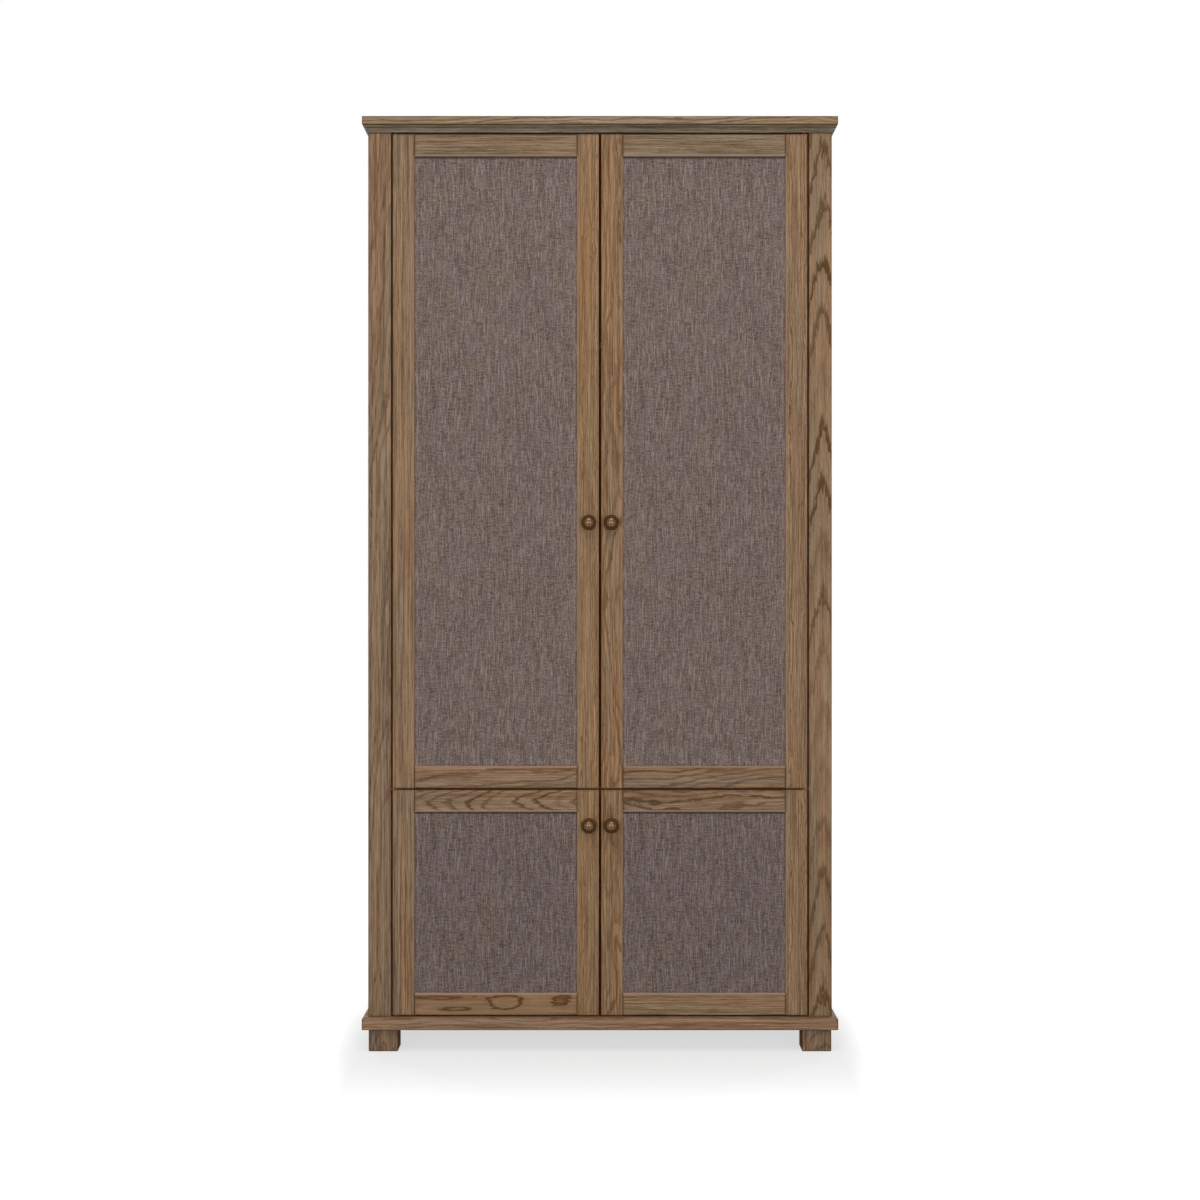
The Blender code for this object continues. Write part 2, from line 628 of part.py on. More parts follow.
def add_strike(stile, axis, side, middle_height):
    """Thin strike plate on the back of the inner stile, opposite its catch."""
    middle = from_hinge_edge(side, DOOR_WIDTH - MEMBER_WIDTH / 2)
    back = DOOR_THICKNESS - PIVOT_FROM_FACE
    plate = box((middle - STRIKE_WIDTH / 2, back - ARRIS, middle_height - STRIKE_HEIGHT / 2),
                (middle + STRIKE_WIDTH / 2, back + STRIKE_RISE, middle_height + STRIKE_HEIGHT / 2))
    combine(stile, new_tool(f"{stile.name}_strike", plate, (0, 0, 0), axis), "UNION")


def fit_door_leaf(name, stile, axis, side, surface, direction):
    """Leaf let into one end of the outer stile, bored for the pin, and the pocket for both."""
    pocket = leaf_pocket(f"{name}_pocket", side, axis.location.z + surface, direction, axis)
    combine(stile, pocket, "DIFFERENCE")
    hole_depth = PIVOT_BITE + PIN_END_PLAY
    low = surface - (GAP if direction > 0 else hole_depth)
    hole = new_tool(f"{name}_pin_hole", turned_pin(PIVOT_RADIUS + GAP, hole_depth + GAP), (0, 0, low), axis)
    combine(stile, hole, "DIFFERENCE")
    leaf_low = surface if direction > 0 else surface - LEAF_THICKNESS
    leaf = new_piece(name, prism(leaf_outline(side, LEAF_HALF_WIDTH, LEAF_LENGTH), LEAF_THICKNESS),
                     (0, 0, leaf_low), HINGE_BRONZE, axis)
    bore = new_tool(f"{name}_bore", turned_pin(PIVOT_RADIUS + PIVOT_PLAY, LEAF_THICKNESS + 2 * GAP),
                    (0, 0, leaf_low - GAP), axis)
    combine(leaf, bore, "DIFFERENCE")


def make_door(name, side, bottom, top, knob_height, linen, strike_height):
    """One door, hung on its pin axis: frame, panel, knob, strike and the two hinge leaves."""
    height = top - bottom
    axis = make_pivot_axis(f"{name}_axis", side, bottom)
    outer = make_stile(f"{name}_outer_stile", axis, side, height, True)
    inner = make_stile(f"{name}_inner_stile", axis, side, height, False)
    make_rail(f"{name}_bottom_rail", axis, side, 0, 1)
    make_rail(f"{name}_top_rail", axis, side, height, -1)
    make_fabric_panel(f"{name}_fabric_panel", axis, side, height, linen)
    drill_for_stud(inner, axis, make_knob(f"{name}_knob", axis, side, knob_height))
    add_strike(inner, axis, side, strike_height - bottom)
    fit_door_leaf(f"{name}_top_leaf", outer, axis, side, height, -1)
    fit_door_leaf(f"{name}_bottom_leaf", outer, axis, side, 0, 1)


def make_doors():
    upper_bottom = DIVISION_HEIGHT + LEVEL_GAP / 2
    upper_top = CORNICE_BOTTOM - LEVEL_GAP
    lower_bottom = BASE_TOP + LEVEL_GAP
    lower_top = DIVISION_HEIGHT - LEVEL_GAP / 2
    strike_drop = CATCH_HEIGHT / 2 + STRIKE_DROP
    for side_name, side in (("left", -1), ("right", 1)):
        make_door(f"{side_name}_upper", side, upper_bottom, upper_top, UPPER_KNOB_HEIGHT,
                  LINEN_UPPER, CORNICE_BOTTOM - strike_drop)
        make_door(f"{side_name}_lower", side, lower_bottom, lower_top, LOWER_KNOB_HEIGHT,
                  LINEN_LOWER, MIDDLE_SHELF_BOTTOM - strike_drop)


def build_cabinet():
    clear_scene()
    undersides = shelf_undersides()
    make_crown_board()
    make_cornice()
    make_posts()
    make_side_panels(undersides)
    make_back_panel()
    make_base_board()
    make_feet()
    make_shelves(undersides)
    make_carcass_pivots()
    make_catch("upper_catch", CORNICE_BOTTOM)
    make_catch("lower_catch", MIDDLE_SHELF_BOTTOM)
    make_doors()


build_cabinet()
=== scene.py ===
"""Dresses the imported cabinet: waxed oak, stretched linen, turned brass knobs and small fastenings."""

import math
from collections import namedtuple

import bmesh
import bpy
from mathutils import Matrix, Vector


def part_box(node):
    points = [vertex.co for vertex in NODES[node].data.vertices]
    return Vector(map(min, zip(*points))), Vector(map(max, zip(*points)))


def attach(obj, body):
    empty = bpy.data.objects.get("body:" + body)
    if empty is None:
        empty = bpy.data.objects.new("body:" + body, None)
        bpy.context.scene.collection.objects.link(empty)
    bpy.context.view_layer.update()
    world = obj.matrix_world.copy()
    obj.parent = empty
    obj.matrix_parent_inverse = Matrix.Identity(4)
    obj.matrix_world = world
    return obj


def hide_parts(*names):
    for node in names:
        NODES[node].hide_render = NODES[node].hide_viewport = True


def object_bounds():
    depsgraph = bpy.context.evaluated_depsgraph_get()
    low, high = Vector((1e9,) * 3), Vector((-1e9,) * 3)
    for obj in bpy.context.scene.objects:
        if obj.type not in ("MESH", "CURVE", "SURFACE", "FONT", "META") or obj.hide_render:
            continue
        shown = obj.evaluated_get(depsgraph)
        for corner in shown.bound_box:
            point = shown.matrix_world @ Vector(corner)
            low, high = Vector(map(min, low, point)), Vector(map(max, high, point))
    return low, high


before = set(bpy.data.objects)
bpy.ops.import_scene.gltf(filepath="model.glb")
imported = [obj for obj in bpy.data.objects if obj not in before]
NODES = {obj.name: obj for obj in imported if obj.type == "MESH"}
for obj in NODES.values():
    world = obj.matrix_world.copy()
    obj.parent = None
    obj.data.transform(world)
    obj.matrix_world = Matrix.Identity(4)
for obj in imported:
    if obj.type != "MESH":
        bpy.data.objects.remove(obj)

CAD_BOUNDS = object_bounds()

# Cabinet
SIDES = ("left", "right")
LEVELS = ("upper", "lower")
SHELVES = ("lower_shelf", "middle_shelf", "upper_shelf_1", "upper_shelf_2")
PIN_AXIS = 0.4595           # of the doors' pivots, from the cabinet's middle
STRIKE_FACE = -0.1829       # an inner stile is its steel strike plate behind this depth
POLE_FACE = -0.1806         # a catch is its steel poles in front of this depth
TENON = 0.0074
GROOVE_DEPTH = 0.0077

# Linen on its board
# The lower linen is the same cloth as the upper, made a little darker as painted shade.
LINEN_TONES_WITH_PAINTED_SHADE = {"upper": (127, 110, 101), "lower": (121, 105, 98)}
VIOLET = (0, -2, 2)
SAND = (2, 0, -3)
THREAD_STEPS = 34           # from the middle tone of the linen to its darkest and lightest threads
SLUB_STEPS = 58
# How much darker the painted shadow under the top rail is
RAIL_SHADOW_STEPS = -46
THREAD_PITCH = 0.0009
THREAD_WANDER = 0.0012
CLOTH_THICKNESS = 0.0007
CLOTH_ROUND = 0.0012        # radius of its turn round the board's edges
CLOTH_RETURN = 0.020        # how far it reaches in behind the board
CLOTH_MESH = 0.007
WELT_INSET = 0.0062         # middle of the low roll inside the frame, from the frame
WELT_HALF = 0.0022
WELT_RISE = 0.00045
SLACK = {"Depth": 0.00030, "Width": 0.030, "Length": 0.120}
BOARD_CLEARANCE = 0.0008
BOARD_ARRIS = 0.0006

# Knobs
KNOB_STEPS = 96
KNOB_REACH = 0.0268         # of the turned knob, out from the door
KNOB_DEPTH = 0.0270         # from the front of its solid to the door
ARC_STEP = math.radians(9)
SHARP_ANGLE = math.radians(38)

# Fastenings
STAPLE = {"Spacing": 0.045, "Length": 0.010, "Wire": 0.00035}
STAPLE_INSET = 0.0135
STAPLE_MARGIN = 0.020       # a row of staples starts this far from the corner of the rows
STAPLE_LIFT = 0.0004
STAPLE_LEAN = 0.15          # radians, either way
PANEL_PIN = {"Spacing": 0.075, "Head Radius": 0.0016, "Rise": 0.0004, "Seed": 4}
PIN_INSET = 0.010           # pins at the panel's ends, in from its edge
SCREW = {"Head Radius": 0.0019, "Rise": 0.0004, "Slot": 0.0005}
SCREW_PLACES = (0.014, 0.026)
STRIKE_DROP = 0.003         # middle of a strike below the middle of its catch

# Camera and studio
CAMERA_PLACE = (0.0, -4.705, 1.0165)
FILM_WIDTH = 36.0
LENS = 59.96
WORLD_LIGHT = 0.30
WHITE = (1.0, 1.0, 1.0, 1.0)
FLOOR_SIZE = 30.0
FLOOR_PAINT = (0.36, 0.36, 0.36, 1.0)
# The floor's glow is weaker near the cabinet than in the distance, which paints shade round the cabinet on
# top of its real shadow.
FLOOR_GLOW = 0.64           # the floor's own white under the cabinet
FLOOR_GLOW_MORE = 0.29      # and what is added to it in the distance
PAINTED_SHADE_BESIDE = 0.110       # distances from the cabinet's box at which the floor is white
PAINTED_SHADE_BEFORE = 0.75
Lamp = namedtuple("Lamp", "place target size power")
SOFTBOX = Lamp((1.47, -4.25, 1.25), (0, -0.2, 0.95), (0.55, 0.75), 29)
BACK_FILL = Lamp((2.6, 3.2, 2.4), (0, 0.2, 1.1), (1.2, 1.2), 30)
FRONT_LIGHT = Lamp((0, -5.2, 1.5), (0, -0.2, 1.0), (0.30, 0.30), 6)
TOP_LIGHT = Lamp((0, -3.0, 4.6), (0, -0.2, 1.2), (2.6, 2.8), 60)


def linear(colour):
    """Linear RGBA of an sRGB colour in steps of 0 to 255."""
    shares = [step / 255 for step in colour]
    parts = [share / 12.92 if share <= 0.04045 else ((share + 0.055) / 1.055) ** 2.4 for share in shares]
    return (*parts, 1.0)


def toned(tone, steps, tint=(0, 0, 0)):
    """Linear RGBA of a tone made lighter by even steps and shifted by a tint."""
    return linear([part + steps + shift for part, shift in zip(tone, tint)])


class Field:
    """A number that varies over a surface. Arithmetic on it adds Math nodes."""

    def __init__(self, nodes, socket):
        self.nodes = nodes
        self.socket = socket

    def __add__(self, other):
        return self.nodes.maths("ADD", self, other)

    __radd__ = __add__

    def __sub__(self, other):
        return self.nodes.maths("SUBTRACT", self, other)

    def __rsub__(self, other):
        return self.nodes.maths("SUBTRACT", other, self)

    def __mul__(self, other):
        return self.nodes.maths("MULTIPLY", self, other)

    __rmul__ = __mul__

    def __truediv__(self, other):
        return self.nodes.maths("DIVIDE", self, other)

    def __pow__(self, other):
        return self.nodes.maths("POWER", self, other)

    def __abs__(self):
        return self.nodes.maths("ABSOLUTE", self)


class Nodes:
    """Adds nodes to one tree: settings first, then the values or links of the sockets."""

    def __init__(self, tree):
        self.tree = tree

    def add(self, kind, settings=None, sockets=None):
        node = self.tree.nodes.new(kind)
        for name, value in (settings or {}).items():
            setattr(node, name, value)
        for key, value in (sockets or {}).items():
            if isinstance(value, Field):
                value = value.socket
            if isinstance(value, bpy.types.NodeSocket):
                self.tree.links.new(value, node.inputs[key])
            else:
                node.inputs[key].default_value = value
        return node

    def maths(self, operation, *values):
        node = self.add("ShaderNodeMath", {"operation": operation}, dict(enumerate(values)))
        return Field(self, node.outputs[0])


class Finish(Nodes):
    """A material while it is made, with short ways to lay its patterns."""

    def __init__(self, name):
        self.material = bpy.data.materials.new(name)
        self.material.use_nodes = True
        super().__init__(self.material.node_tree)
        self.tree.nodes.clear()

    def object_place(self, middle=(0, 0, 0)):
        """Object coordinates measured from a middle."""
        place = self.add("ShaderNodeTexCoord").outputs["Object"]
        back = tuple(-value for value in middle)
        return self.add("ShaderNodeMapping", {}, {"Vector": place, "Location": back}).outputs[0]

    def split(self, place):
        outputs = self.add("ShaderNodeSeparateXYZ", {}, {0: place}).outputs
        return [Field(self, socket) for socket in outputs]

    def noise(self, place, sizes, shift, detail=2.0, roughness=0.5):
        """Noise whose features have these sizes along x, y and z, from 0 to 1."""
        scale = tuple(1 / size for size in sizes)
        location = (shift, 1.7 * shift, 2.9 * shift)
        spread = self.add("ShaderNodeMapping", {}, {"Vector": place, "Location": location, "Scale": scale})
        sockets = {"Vector": spread.outputs[0], "Scale": 1.0, "Detail": detail, "Roughness": roughness}
        return Field(self, self.add("ShaderNodeTexNoise", {}, sockets).outputs[0])

    def step(self, field, low, high):
        """0 at low and 1 at high, eased between."""
        sockets = {0: field, 1: low, 2: high}
        node = self.add("ShaderNodeMapRange", {"interpolation_type": "SMOOTHSTEP"}, sockets)
        return Field(self, node.outputs[0])

    def chance(self, field):
        """One random number for each whole number of a field."""
        whole = self.maths("FLOOR", field)
        node = self.add("ShaderNodeTexWhiteNoise", {"noise_dimensions": "1D"}, {"W": whole})
        return Field(self, node.outputs["Value"])

    def mixed(self, share, first, second):
        """A colour between two colours."""
        node = self.add("ShaderNodeMix", {"data_type": "RGBA"}, {0: share, 6: first, 7: second})
        return node.outputs[2]

    def shaded(self, colour, share):
        """A colour made lighter or darker."""
        node = self.add("ShaderNodeVectorMath", {"operation": "SCALE"}, {0: colour, "Scale": share})
        return node.outputs[0]

    def relief(self, height, depth):
        """Bumps of a depth in metres."""
        return self.add("ShaderNodeBump", {}, {"Height": height, "Distance": depth}).outputs[0]

    def surface(self, colour, roughness, normal, fixed):
        sockets = {"Base Color": colour, "Roughness": roughness, "Normal": normal, **fixed}
        return self.add("ShaderNodeBsdfPrincipled", {}, sockets).outputs[0]

    def done(self, surface):
        self.add("ShaderNodeOutputMaterial", {}, {"Surface": surface})
        return self.material


# Oak: how each board was cut from its log. Lengths are from the board's middle: where the pith lies, how
# far it leans sideways and the rings widen along the grain, how far the rings are apart, how much they
# waver and how ragged their lines are. Line is the share of a ring that its dark line takes, figure is how
# strong the rings show and fine how strong the streaks between them. An eye is a place where the rings
# close round a bulge.
Cut = namedtuple("Cut", "pith_across pith_deep lean taper ring waver ragged line figure fine eyes",
                 defaults=(1.0, ()))
Eye = namedtuple("Eye", "along across length width rise")
STRAIGHT = Cut(0.150, 0.060, 0.004, 0.003, 0.0050, 0.020, 0.004, 0.45, 0.50)
FINE = Cut(-0.190, 0.020, 0.002, 0.002, 0.0042, 0.014, 0.003, 0.45, 0.45)
WAVY = Cut(-0.120, 0.030, 0.006, 0.004, 0.0046, 0.030, 0.008, 0.50, 0.90)
ARCHED = Cut(0.034, 0.006, 0.006, 0.060, 0.0110, 0.050, 0.005, 0.42, 0.50)
BANDED = Cut(0.022, 0.030, 0.002, 0.014, 0.0070, 0.060, 0.005, 0.50, 0.60)
FLAMED = Cut(0.006, -0.015, 0.000, 0.190, 0.0240, 0.016, 0.018, 0.42, 1.20)
SLANTED = Cut(0.030, 0.040, 0.060, 0.030, 0.0080, 0.050, 0.005, 0.45, 0.75)
LONG = Cut(0.060, -0.260, 0.012, 0.014, 0.0080, 0.050, 0.006, 0.50, 1.15)
QUIET = Cut(0.060, -0.260, 0.006, 0.008, 0.0090, 0.040, 0.005, 0.45, 0.60)
ARROWED = Cut(-0.004, 0.020, 0.010, -0.170, 0.0070, 0.014, 0.005, 0.46, 1.00)
FANNED = Cut(-0.010, 0.024, -0.055, -0.050, 0.0066, 0.030, 0.006, 0.50, 0.90)
SWIRLED = Cut(0.000, 0.054, 0.000, 0.030, 0.0150, 0.008, 0.008, 0.40, 1.45, 1.0,
              (Eye(0.020, 0.002, 0.033, 0.013, 0.0195), Eye(-0.098, -0.010, 0.058, 0.008, 0.0165),
               Eye(-0.165, 0.014, 0.110, 0.006, 0.0165), Eye(0.145, 0.006, 0.024, 0.014, 0.0085)))
CURLED = Cut(0.004, 0.020, 0.050, 0.150, 0.0085, 0.050, 0.008, 0.40, 0.60)
WIDE = Cut(0.040, 0.120, 0.010, 0.045, 0.0120, 0.070, 0.004, 0.40, 0.50, 0.50)

# Where a board is pale along one edge, with wear and a painted highlight: the axis across the edge, the
# side it is on, half the length of the pale line, how strong it is and how far inside the edge it lies
Arris = namedtuple("Arris", "axis side half_length strength inset", defaults=(0.0,))
# Strength of the pale line beside the linen on stiles and rails: wear, and a painted highlight.
STILE_WEAR_AND_HIGHLIGHT = 0.45
RAIL_WEAR_AND_HIGHLIGHT = 0.85
# On the base board the pale line, 7.5 mm inside the top edge, is a painted highlight.
BASE_PAINTED_HIGHLIGHT = Arris("Z", 1, 0.530, 0.35, 0.0075)

# Steps from the middle tone of a board to those of its parts
STREAK_REACH = 32
RING_STEPS = -54
GLAZE_STEPS = -26
JOINT_STEPS = -58
PAINTED_SHADE_STEPS = -52
WEAR_AND_HIGHLIGHT_STEPS = 34

ASHEN = (-4, 0, -1)
AMBER = (7, 0, -8)
UMBER = (4, 2, -6)
# Tint of the painted shade on faces toward a gap and on the feet's faces toward the middle
PAINTED_SHADE_TINT = (6, -2, -9)
OAK_RELIEF = 0.00035
SPECULAR = 0.25

STEEL = (176, 172, 166)
BRONZE = (120, 94, 62)
PLATE_ROUGHNESS = 0.30
DULL_STEPS = -34


def along_grain(grain, across, along):
    """Feature sizes on x, y and z for a pattern that runs with the grain."""
    return tuple(along if axis == grain else across for axis in "XYZ")


def edge_distance(finish, offsets, halves):
    """On a face of a board, how far the nearest edge is."""
    depths = [half - abs(offset) for offset, half in zip(offsets, halves)]
    low = finish.maths("MINIMUM", depths[0], depths[1])
    high = finish.maths("MAXIMUM", depths[0], depths[1])
    return finish.maths("MAXIMUM", low, finish.maths("MINIMUM", high, depths[2]))


def growth_rings(finish, offsets, grain, centred, cut, shift):
    """Dark porous line of each ring, from 0 to 1, and how far across the ring a place is."""
    x, y, z = offsets
    across, deep, along = {"X": (z, y, x), "Y": (x, z, y), "Z": (x, y, z)}[grain]
    sweep = 0.12 + 3 * cut.waver
    sway = finish.noise(centred, along_grain(grain, sweep / 4, sweep), shift) - 0.5
    swell = finish.noise(centred, along_grain(grain, sweep / 4, sweep), shift + 7) - 0.5
    ragged = finish.noise(centred, along_grain(grain, 0.005, 0.030), shift + 3) - 0.5
    from_pith_across = across - along * cut.lean + (sway * cut.waver - cut.pith_across)
    from_pith_deep = deep + (swell * cut.waver - cut.pith_deep)
    squares = from_pith_across * from_pith_across + from_pith_deep * from_pith_deep
    radius = squares ** 0.5 + along * cut.taper + ragged * cut.ragged
    for eye in cut.eyes:
        off_along = (along - eye.along) / eye.length
        off_across = (across - eye.across) / eye.width
        nearness = finish.maths("POWER", 0.5, off_along * off_along + off_across * off_across)
        radius = radius + nearness * eye.rise
    rings = radius / cut.ring
    strength = 0.30 + finish.chance(rings) * 0.70
    inside = finish.maths("FRACT", rings)
    return (1 - finish.step(inside, cut.line * 0.25, cut.line)) * strength, inside


def oak_colour(finish, tone, cut, light, zones, line, glaze, joint):
    """Streaks from dark to light, ashen or amber by zones, then rings, glaze at the edges and joints."""
    ashen = finish.mixed(light, toned(tone, -STREAK_REACH, ASHEN), toned(tone, STREAK_REACH, ASHEN))
    amber = finish.mixed(light, toned(tone, -STREAK_REACH, AMBER), toned(tone, STREAK_REACH, AMBER))
    colour = finish.mixed(0.5 + (finish.step(zones, 0.32, 0.68) - 0.5) * cut.fine, ashen, amber)
    colour = finish.mixed(line * cut.figure, colour, toned(tone, RING_STEPS, UMBER))
    colour = finish.mixed(glaze * 0.35, colour, toned(tone, GLAZE_STEPS, ASHEN))
    return finish.mixed(joint * 0.65, colour, toned(tone, JOINT_STEPS, UMBER))


def oak_surface(finish, low, high, grain, tone, cut, shift, tenon, arris, painted_shade_side):
    """Waxed open-grained oak: streaked, dark in its joints, pale along an arris with wear and a painted
    highlight, and with painted shade on one face.
    """
    centred = finish.object_place((low + high) / 2)
    offsets = finish.split(centred)
    halves = [half - (tenon if axis == grain else 0) for axis, half in zip("XYZ", (high - low) / 2)]
    line, inside = growth_rings(finish, offsets, grain, centred, cut, shift)
    streaks = finish.noise(centred, along_grain(grain, 0.0036, 0.24), shift + 11, 3.0, 0.6) - 0.5
    fibres = finish.noise(centred, along_grain(grain, 0.0020, 0.055), shift + 13, 3.0, 0.6) - 0.5
    bands = finish.noise(centred, along_grain(grain, 0.018, 0.40), shift + 17, 2.0) - 0.5
    zones = finish.noise(centred, along_grain(grain, 0.016, 0.50), shift + 23, 2.0)
    dashes = finish.noise(centred, along_grain(grain, 0.00042, 0.011), shift + 19, 1.0)
    pores = finish.step(dashes, 0.56, 0.68) * (0.35 + line * 0.65)
    edge = edge_distance(finish, offsets, halves)
    joint = 1 - finish.step(edge + fibres * 0.002, 0.0004, 0.0026)
    glaze = 1 - finish.step(edge + streaks * 0.014, 0.0005, 0.0070)

    plain = (1 - cut.figure * 0.5) * cut.fine
    light = 0.68 + streaks * (3.2 * plain) + fibres * (3.2 * plain) + bands * 0.6 - pores * 0.5
    light = light - inside * cut.figure * 0.25
    colour = oak_colour(finish, tone, cut, light, zones, line, glaze, joint)
    height = fibres * 0.5 - pores - line * 0.25
    roughness = 0.50 + pores * 0.25 + line * 0.08
    # Painted shade: a face toward a gap, or a foot's face toward the middle, is darkened where shade
    # falls.
    if painted_shade_side:
        dark = painted_shade_face(finish, offsets, halves, painted_shade_side)
        colour = finish.mixed(dark * 0.85, colour, toned(tone, PAINTED_SHADE_STEPS, PAINTED_SHADE_TINT))
        roughness = roughness + dark * 0.40
    if arris:
        # Pale line along the arris: wear, and a painted highlight where light would catch it.
        rubbed = arris_wear_and_highlight(finish, offsets, halves, arris, grain)
        colour = finish.mixed(rubbed * arris.strength, colour, toned(tone, WEAR_AND_HIGHLIGHT_STEPS))
    normal = finish.relief(height, OAK_RELIEF)
    return finish.surface(colour, roughness, normal, {"Specular IOR Level": SPECULAR})


def arris_wear_and_highlight(finish, offsets, halves, arris, grain):
    """Pale line of wear and painted highlight along the edge on one side, or inside it by the given inset.
    """
    axis, along = "XYZ".index(arris.axis), "XYZ".index(grain)
    away = abs(halves[axis] - offsets[axis] * arris.side - arris.inset)
    line = 1 - finish.step(away, 0.0024, 0.0050)
    return line * (1 - finish.step(abs(offsets[along]), arris.half_length - 0.001, arris.half_length))


def painted_shade_face(finish, offsets, halves, painted_shade_side):
    """A face on one side of a board, with its arris, darkened as painted shade where it faces a gap or the
    space under the cabinet.
    """
    letter, side = painted_shade_side
    axis = "XYZ".index(letter)
    inset = halves[axis] - offsets[axis] * side
    return 1 - finish.step(inset, 0.0006, 0.0016)


def metal_surface(finish, tone, roughness, shift):
    """Plain metal with fine brushing and dull patches."""
    place = finish.object_place()
    patches = finish.noise(place, (0.006, 0.006, 0.006), shift, 3.0)
    brushed = finish.noise(place, (0.0012, 0.0003, 0.0003), shift + 5, 2.0)
    colour = finish.mixed(finish.step(patches, 0.40, 0.65), linear(tone), toned(tone, DULL_STEPS))
    rough = roughness + patches * 0.25 + brushed * 0.1
    return finish.surface(colour, rough, finish.relief(brushed + patches, 0.00008), {"Metallic": 1.0})


def layered(finish, share, first, second):
    """One surface where share is 0 and another where it is 1."""
    return finish.add("ShaderNodeMixShader", {}, {0: share, 1: first, 2: second}).outputs[0]


def oak(node, grain, tone, cut, tenon=0.0, arris=None, painted_shade_side=None, steel_behind=None):
    """Gives a CAD node its oak. Behind the given depth, if there is one, it is a steel plate."""
    low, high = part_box(node)
    shift = 3.7 * sum(ord(letter) for letter in node) % 97
    finish = Finish(f"oak_{node}")
    surface = oak_surface(finish, low, high, grain, tone, cut, shift, tenon, arris, painted_shade_side)
    if steel_behind is not None:
        depth = finish.split(finish.object_place())[1]
        plate = metal_surface(finish, STEEL, PLATE_ROUGHNESS, shift)
        surface = layered(finish, finish.maths("GREATER_THAN", depth, steel_behind), surface, plate)
    paint(node, finish.done(surface))


def paint(node, material):
    materials = NODES[node].data.materials
    materials.clear()
    materials.append(material)


def finish_carcass():
    oak("crown_board", "X", (156, 131, 105), LONG)
    oak("cornice_front", "X", (118, 102, 85), STRAIGHT)
    for side, inward in zip(SIDES, (1, -1)):
        oak(f"cornice_{side}", "Y", (118, 102, 85), STRAIGHT)
        oak(f"back_post_{side}", "Z", (125, 101, 80), FINE)
        oak(f"side_panel_{side}", "Z", (124, 101, 80), WIDE)
        for place in ("front", "back"):
            # A foot's face toward the middle gets painted shade.
            oak(f"{place}_foot_{side}", "Z", (126, 102, 83), CURLED, painted_shade_side=("X", inward))
    oak("front_post_left", "Z", (131, 103, 79), ARCHED)
    oak("front_post_right", "Z", (144, 115, 88), FLAMED)
    oak("base_board", "X", (144, 111, 85), QUIET, arris=BASE_PAINTED_HIGHLIGHT)
    for shelf in SHELVES:
        oak(shelf, "X", (150, 124, 96), WIDE)
    oak("back_panel", "Z", (140, 116, 90), WIDE)


RAIL_CUTS = {
    "left_upper_top": (FINE, (124, 102, 79)),
    "right_upper_top": (FINE, (129, 107, 85)),
    "left_upper_bottom": (SLANTED, (139, 108, 82)),
    "right_upper_bottom": (SLANTED, (131, 103, 79)),
    "left_lower_top": (ARROWED, (141, 112, 87)),
    "right_lower_top": (FANNED, (137, 108, 84)),
    "left_lower_bottom": (SWIRLED, (151, 118, 88)),
    "right_lower_bottom": (FINE, (144, 114, 86)),
}
STILE_CUTS = {
    ("left", "outer"): (FINE, (134, 106, 80)),
    ("left", "inner"): (WAVY, (148, 114, 81)),
    ("right", "inner"): (BANDED, (139, 107, 77)),
    ("right", "outer"): (WAVY, (145, 114, 86)),
}


def linen_sight(side, level):
    """Half the width and half the height of the linen that a door shows."""
    low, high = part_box(f"{side}_{level}_fabric_panel")
    half = (high - low) / 2
    return half.x - GROOVE_DEPTH, half.z - GROOVE_DEPTH


def finish_door_frame(side, level):
    """Stiles and rails, pale with wear and a painted highlight beside the linen, and with painted shade on
    their edges toward the gaps.
    """
    half_width, half_height = linen_sight(side, level)
    inward = 1 if side == "left" else -1
    for which, linen_side, steel_behind in (("outer", inward, None), ("inner", -inward, STRIKE_FACE)):
        cut, tone = STILE_CUTS[side, which]
        arris = Arris("X", linen_side, half_height, STILE_WEAR_AND_HIGHLIGHT)
        node = f"{side}_{level}_{which}_stile"
        oak(node, "Z", tone, cut, arris=arris, painted_shade_side=("X", -linen_side), steel_behind=steel_behind)
    for place, linen_side in (("top", -1), ("bottom", 1)):
        cut, tone = RAIL_CUTS[f"{side}_{level}_{place}"]
        arris = Arris("Z", linen_side, half_width, RAIL_WEAR_AND_HIGHLIGHT)
        node = f"{side}_{level}_{place}_rail"
        oak(node, "X", tone, cut, tenon=TENON, arris=arris, painted_shade_side=("Z", -linen_side))


def plain_weave(finish, place):
    """Height of warp and weft threads that pass over each other in turn."""
    across, up, _ = finish.split(place)
    warp_wander = finish.noise(place, (0.003, 0.05, 1), 1.0) - 0.5
    weft_wander = finish.noise(place, (0.05, 0.003, 1), 2.0) - 0.5
    warp = (across + warp_wander * THREAD_WANDER) / THREAD_PITCH
    weft = (up + weft_wander * THREAD_WANDER) / THREAD_PITCH
    parity = finish.maths("FRACT", (finish.maths("FLOOR", warp) + finish.maths("FLOOR", weft)) * 0.5) * 2
    warp_round = finish.maths("SINE", finish.maths("FRACT", warp) * math.pi)
    weft_round = finish.maths("SINE", finish.maths("FRACT", weft) * math.pi)
    return weft_round + (warp_round - weft_round) * parity


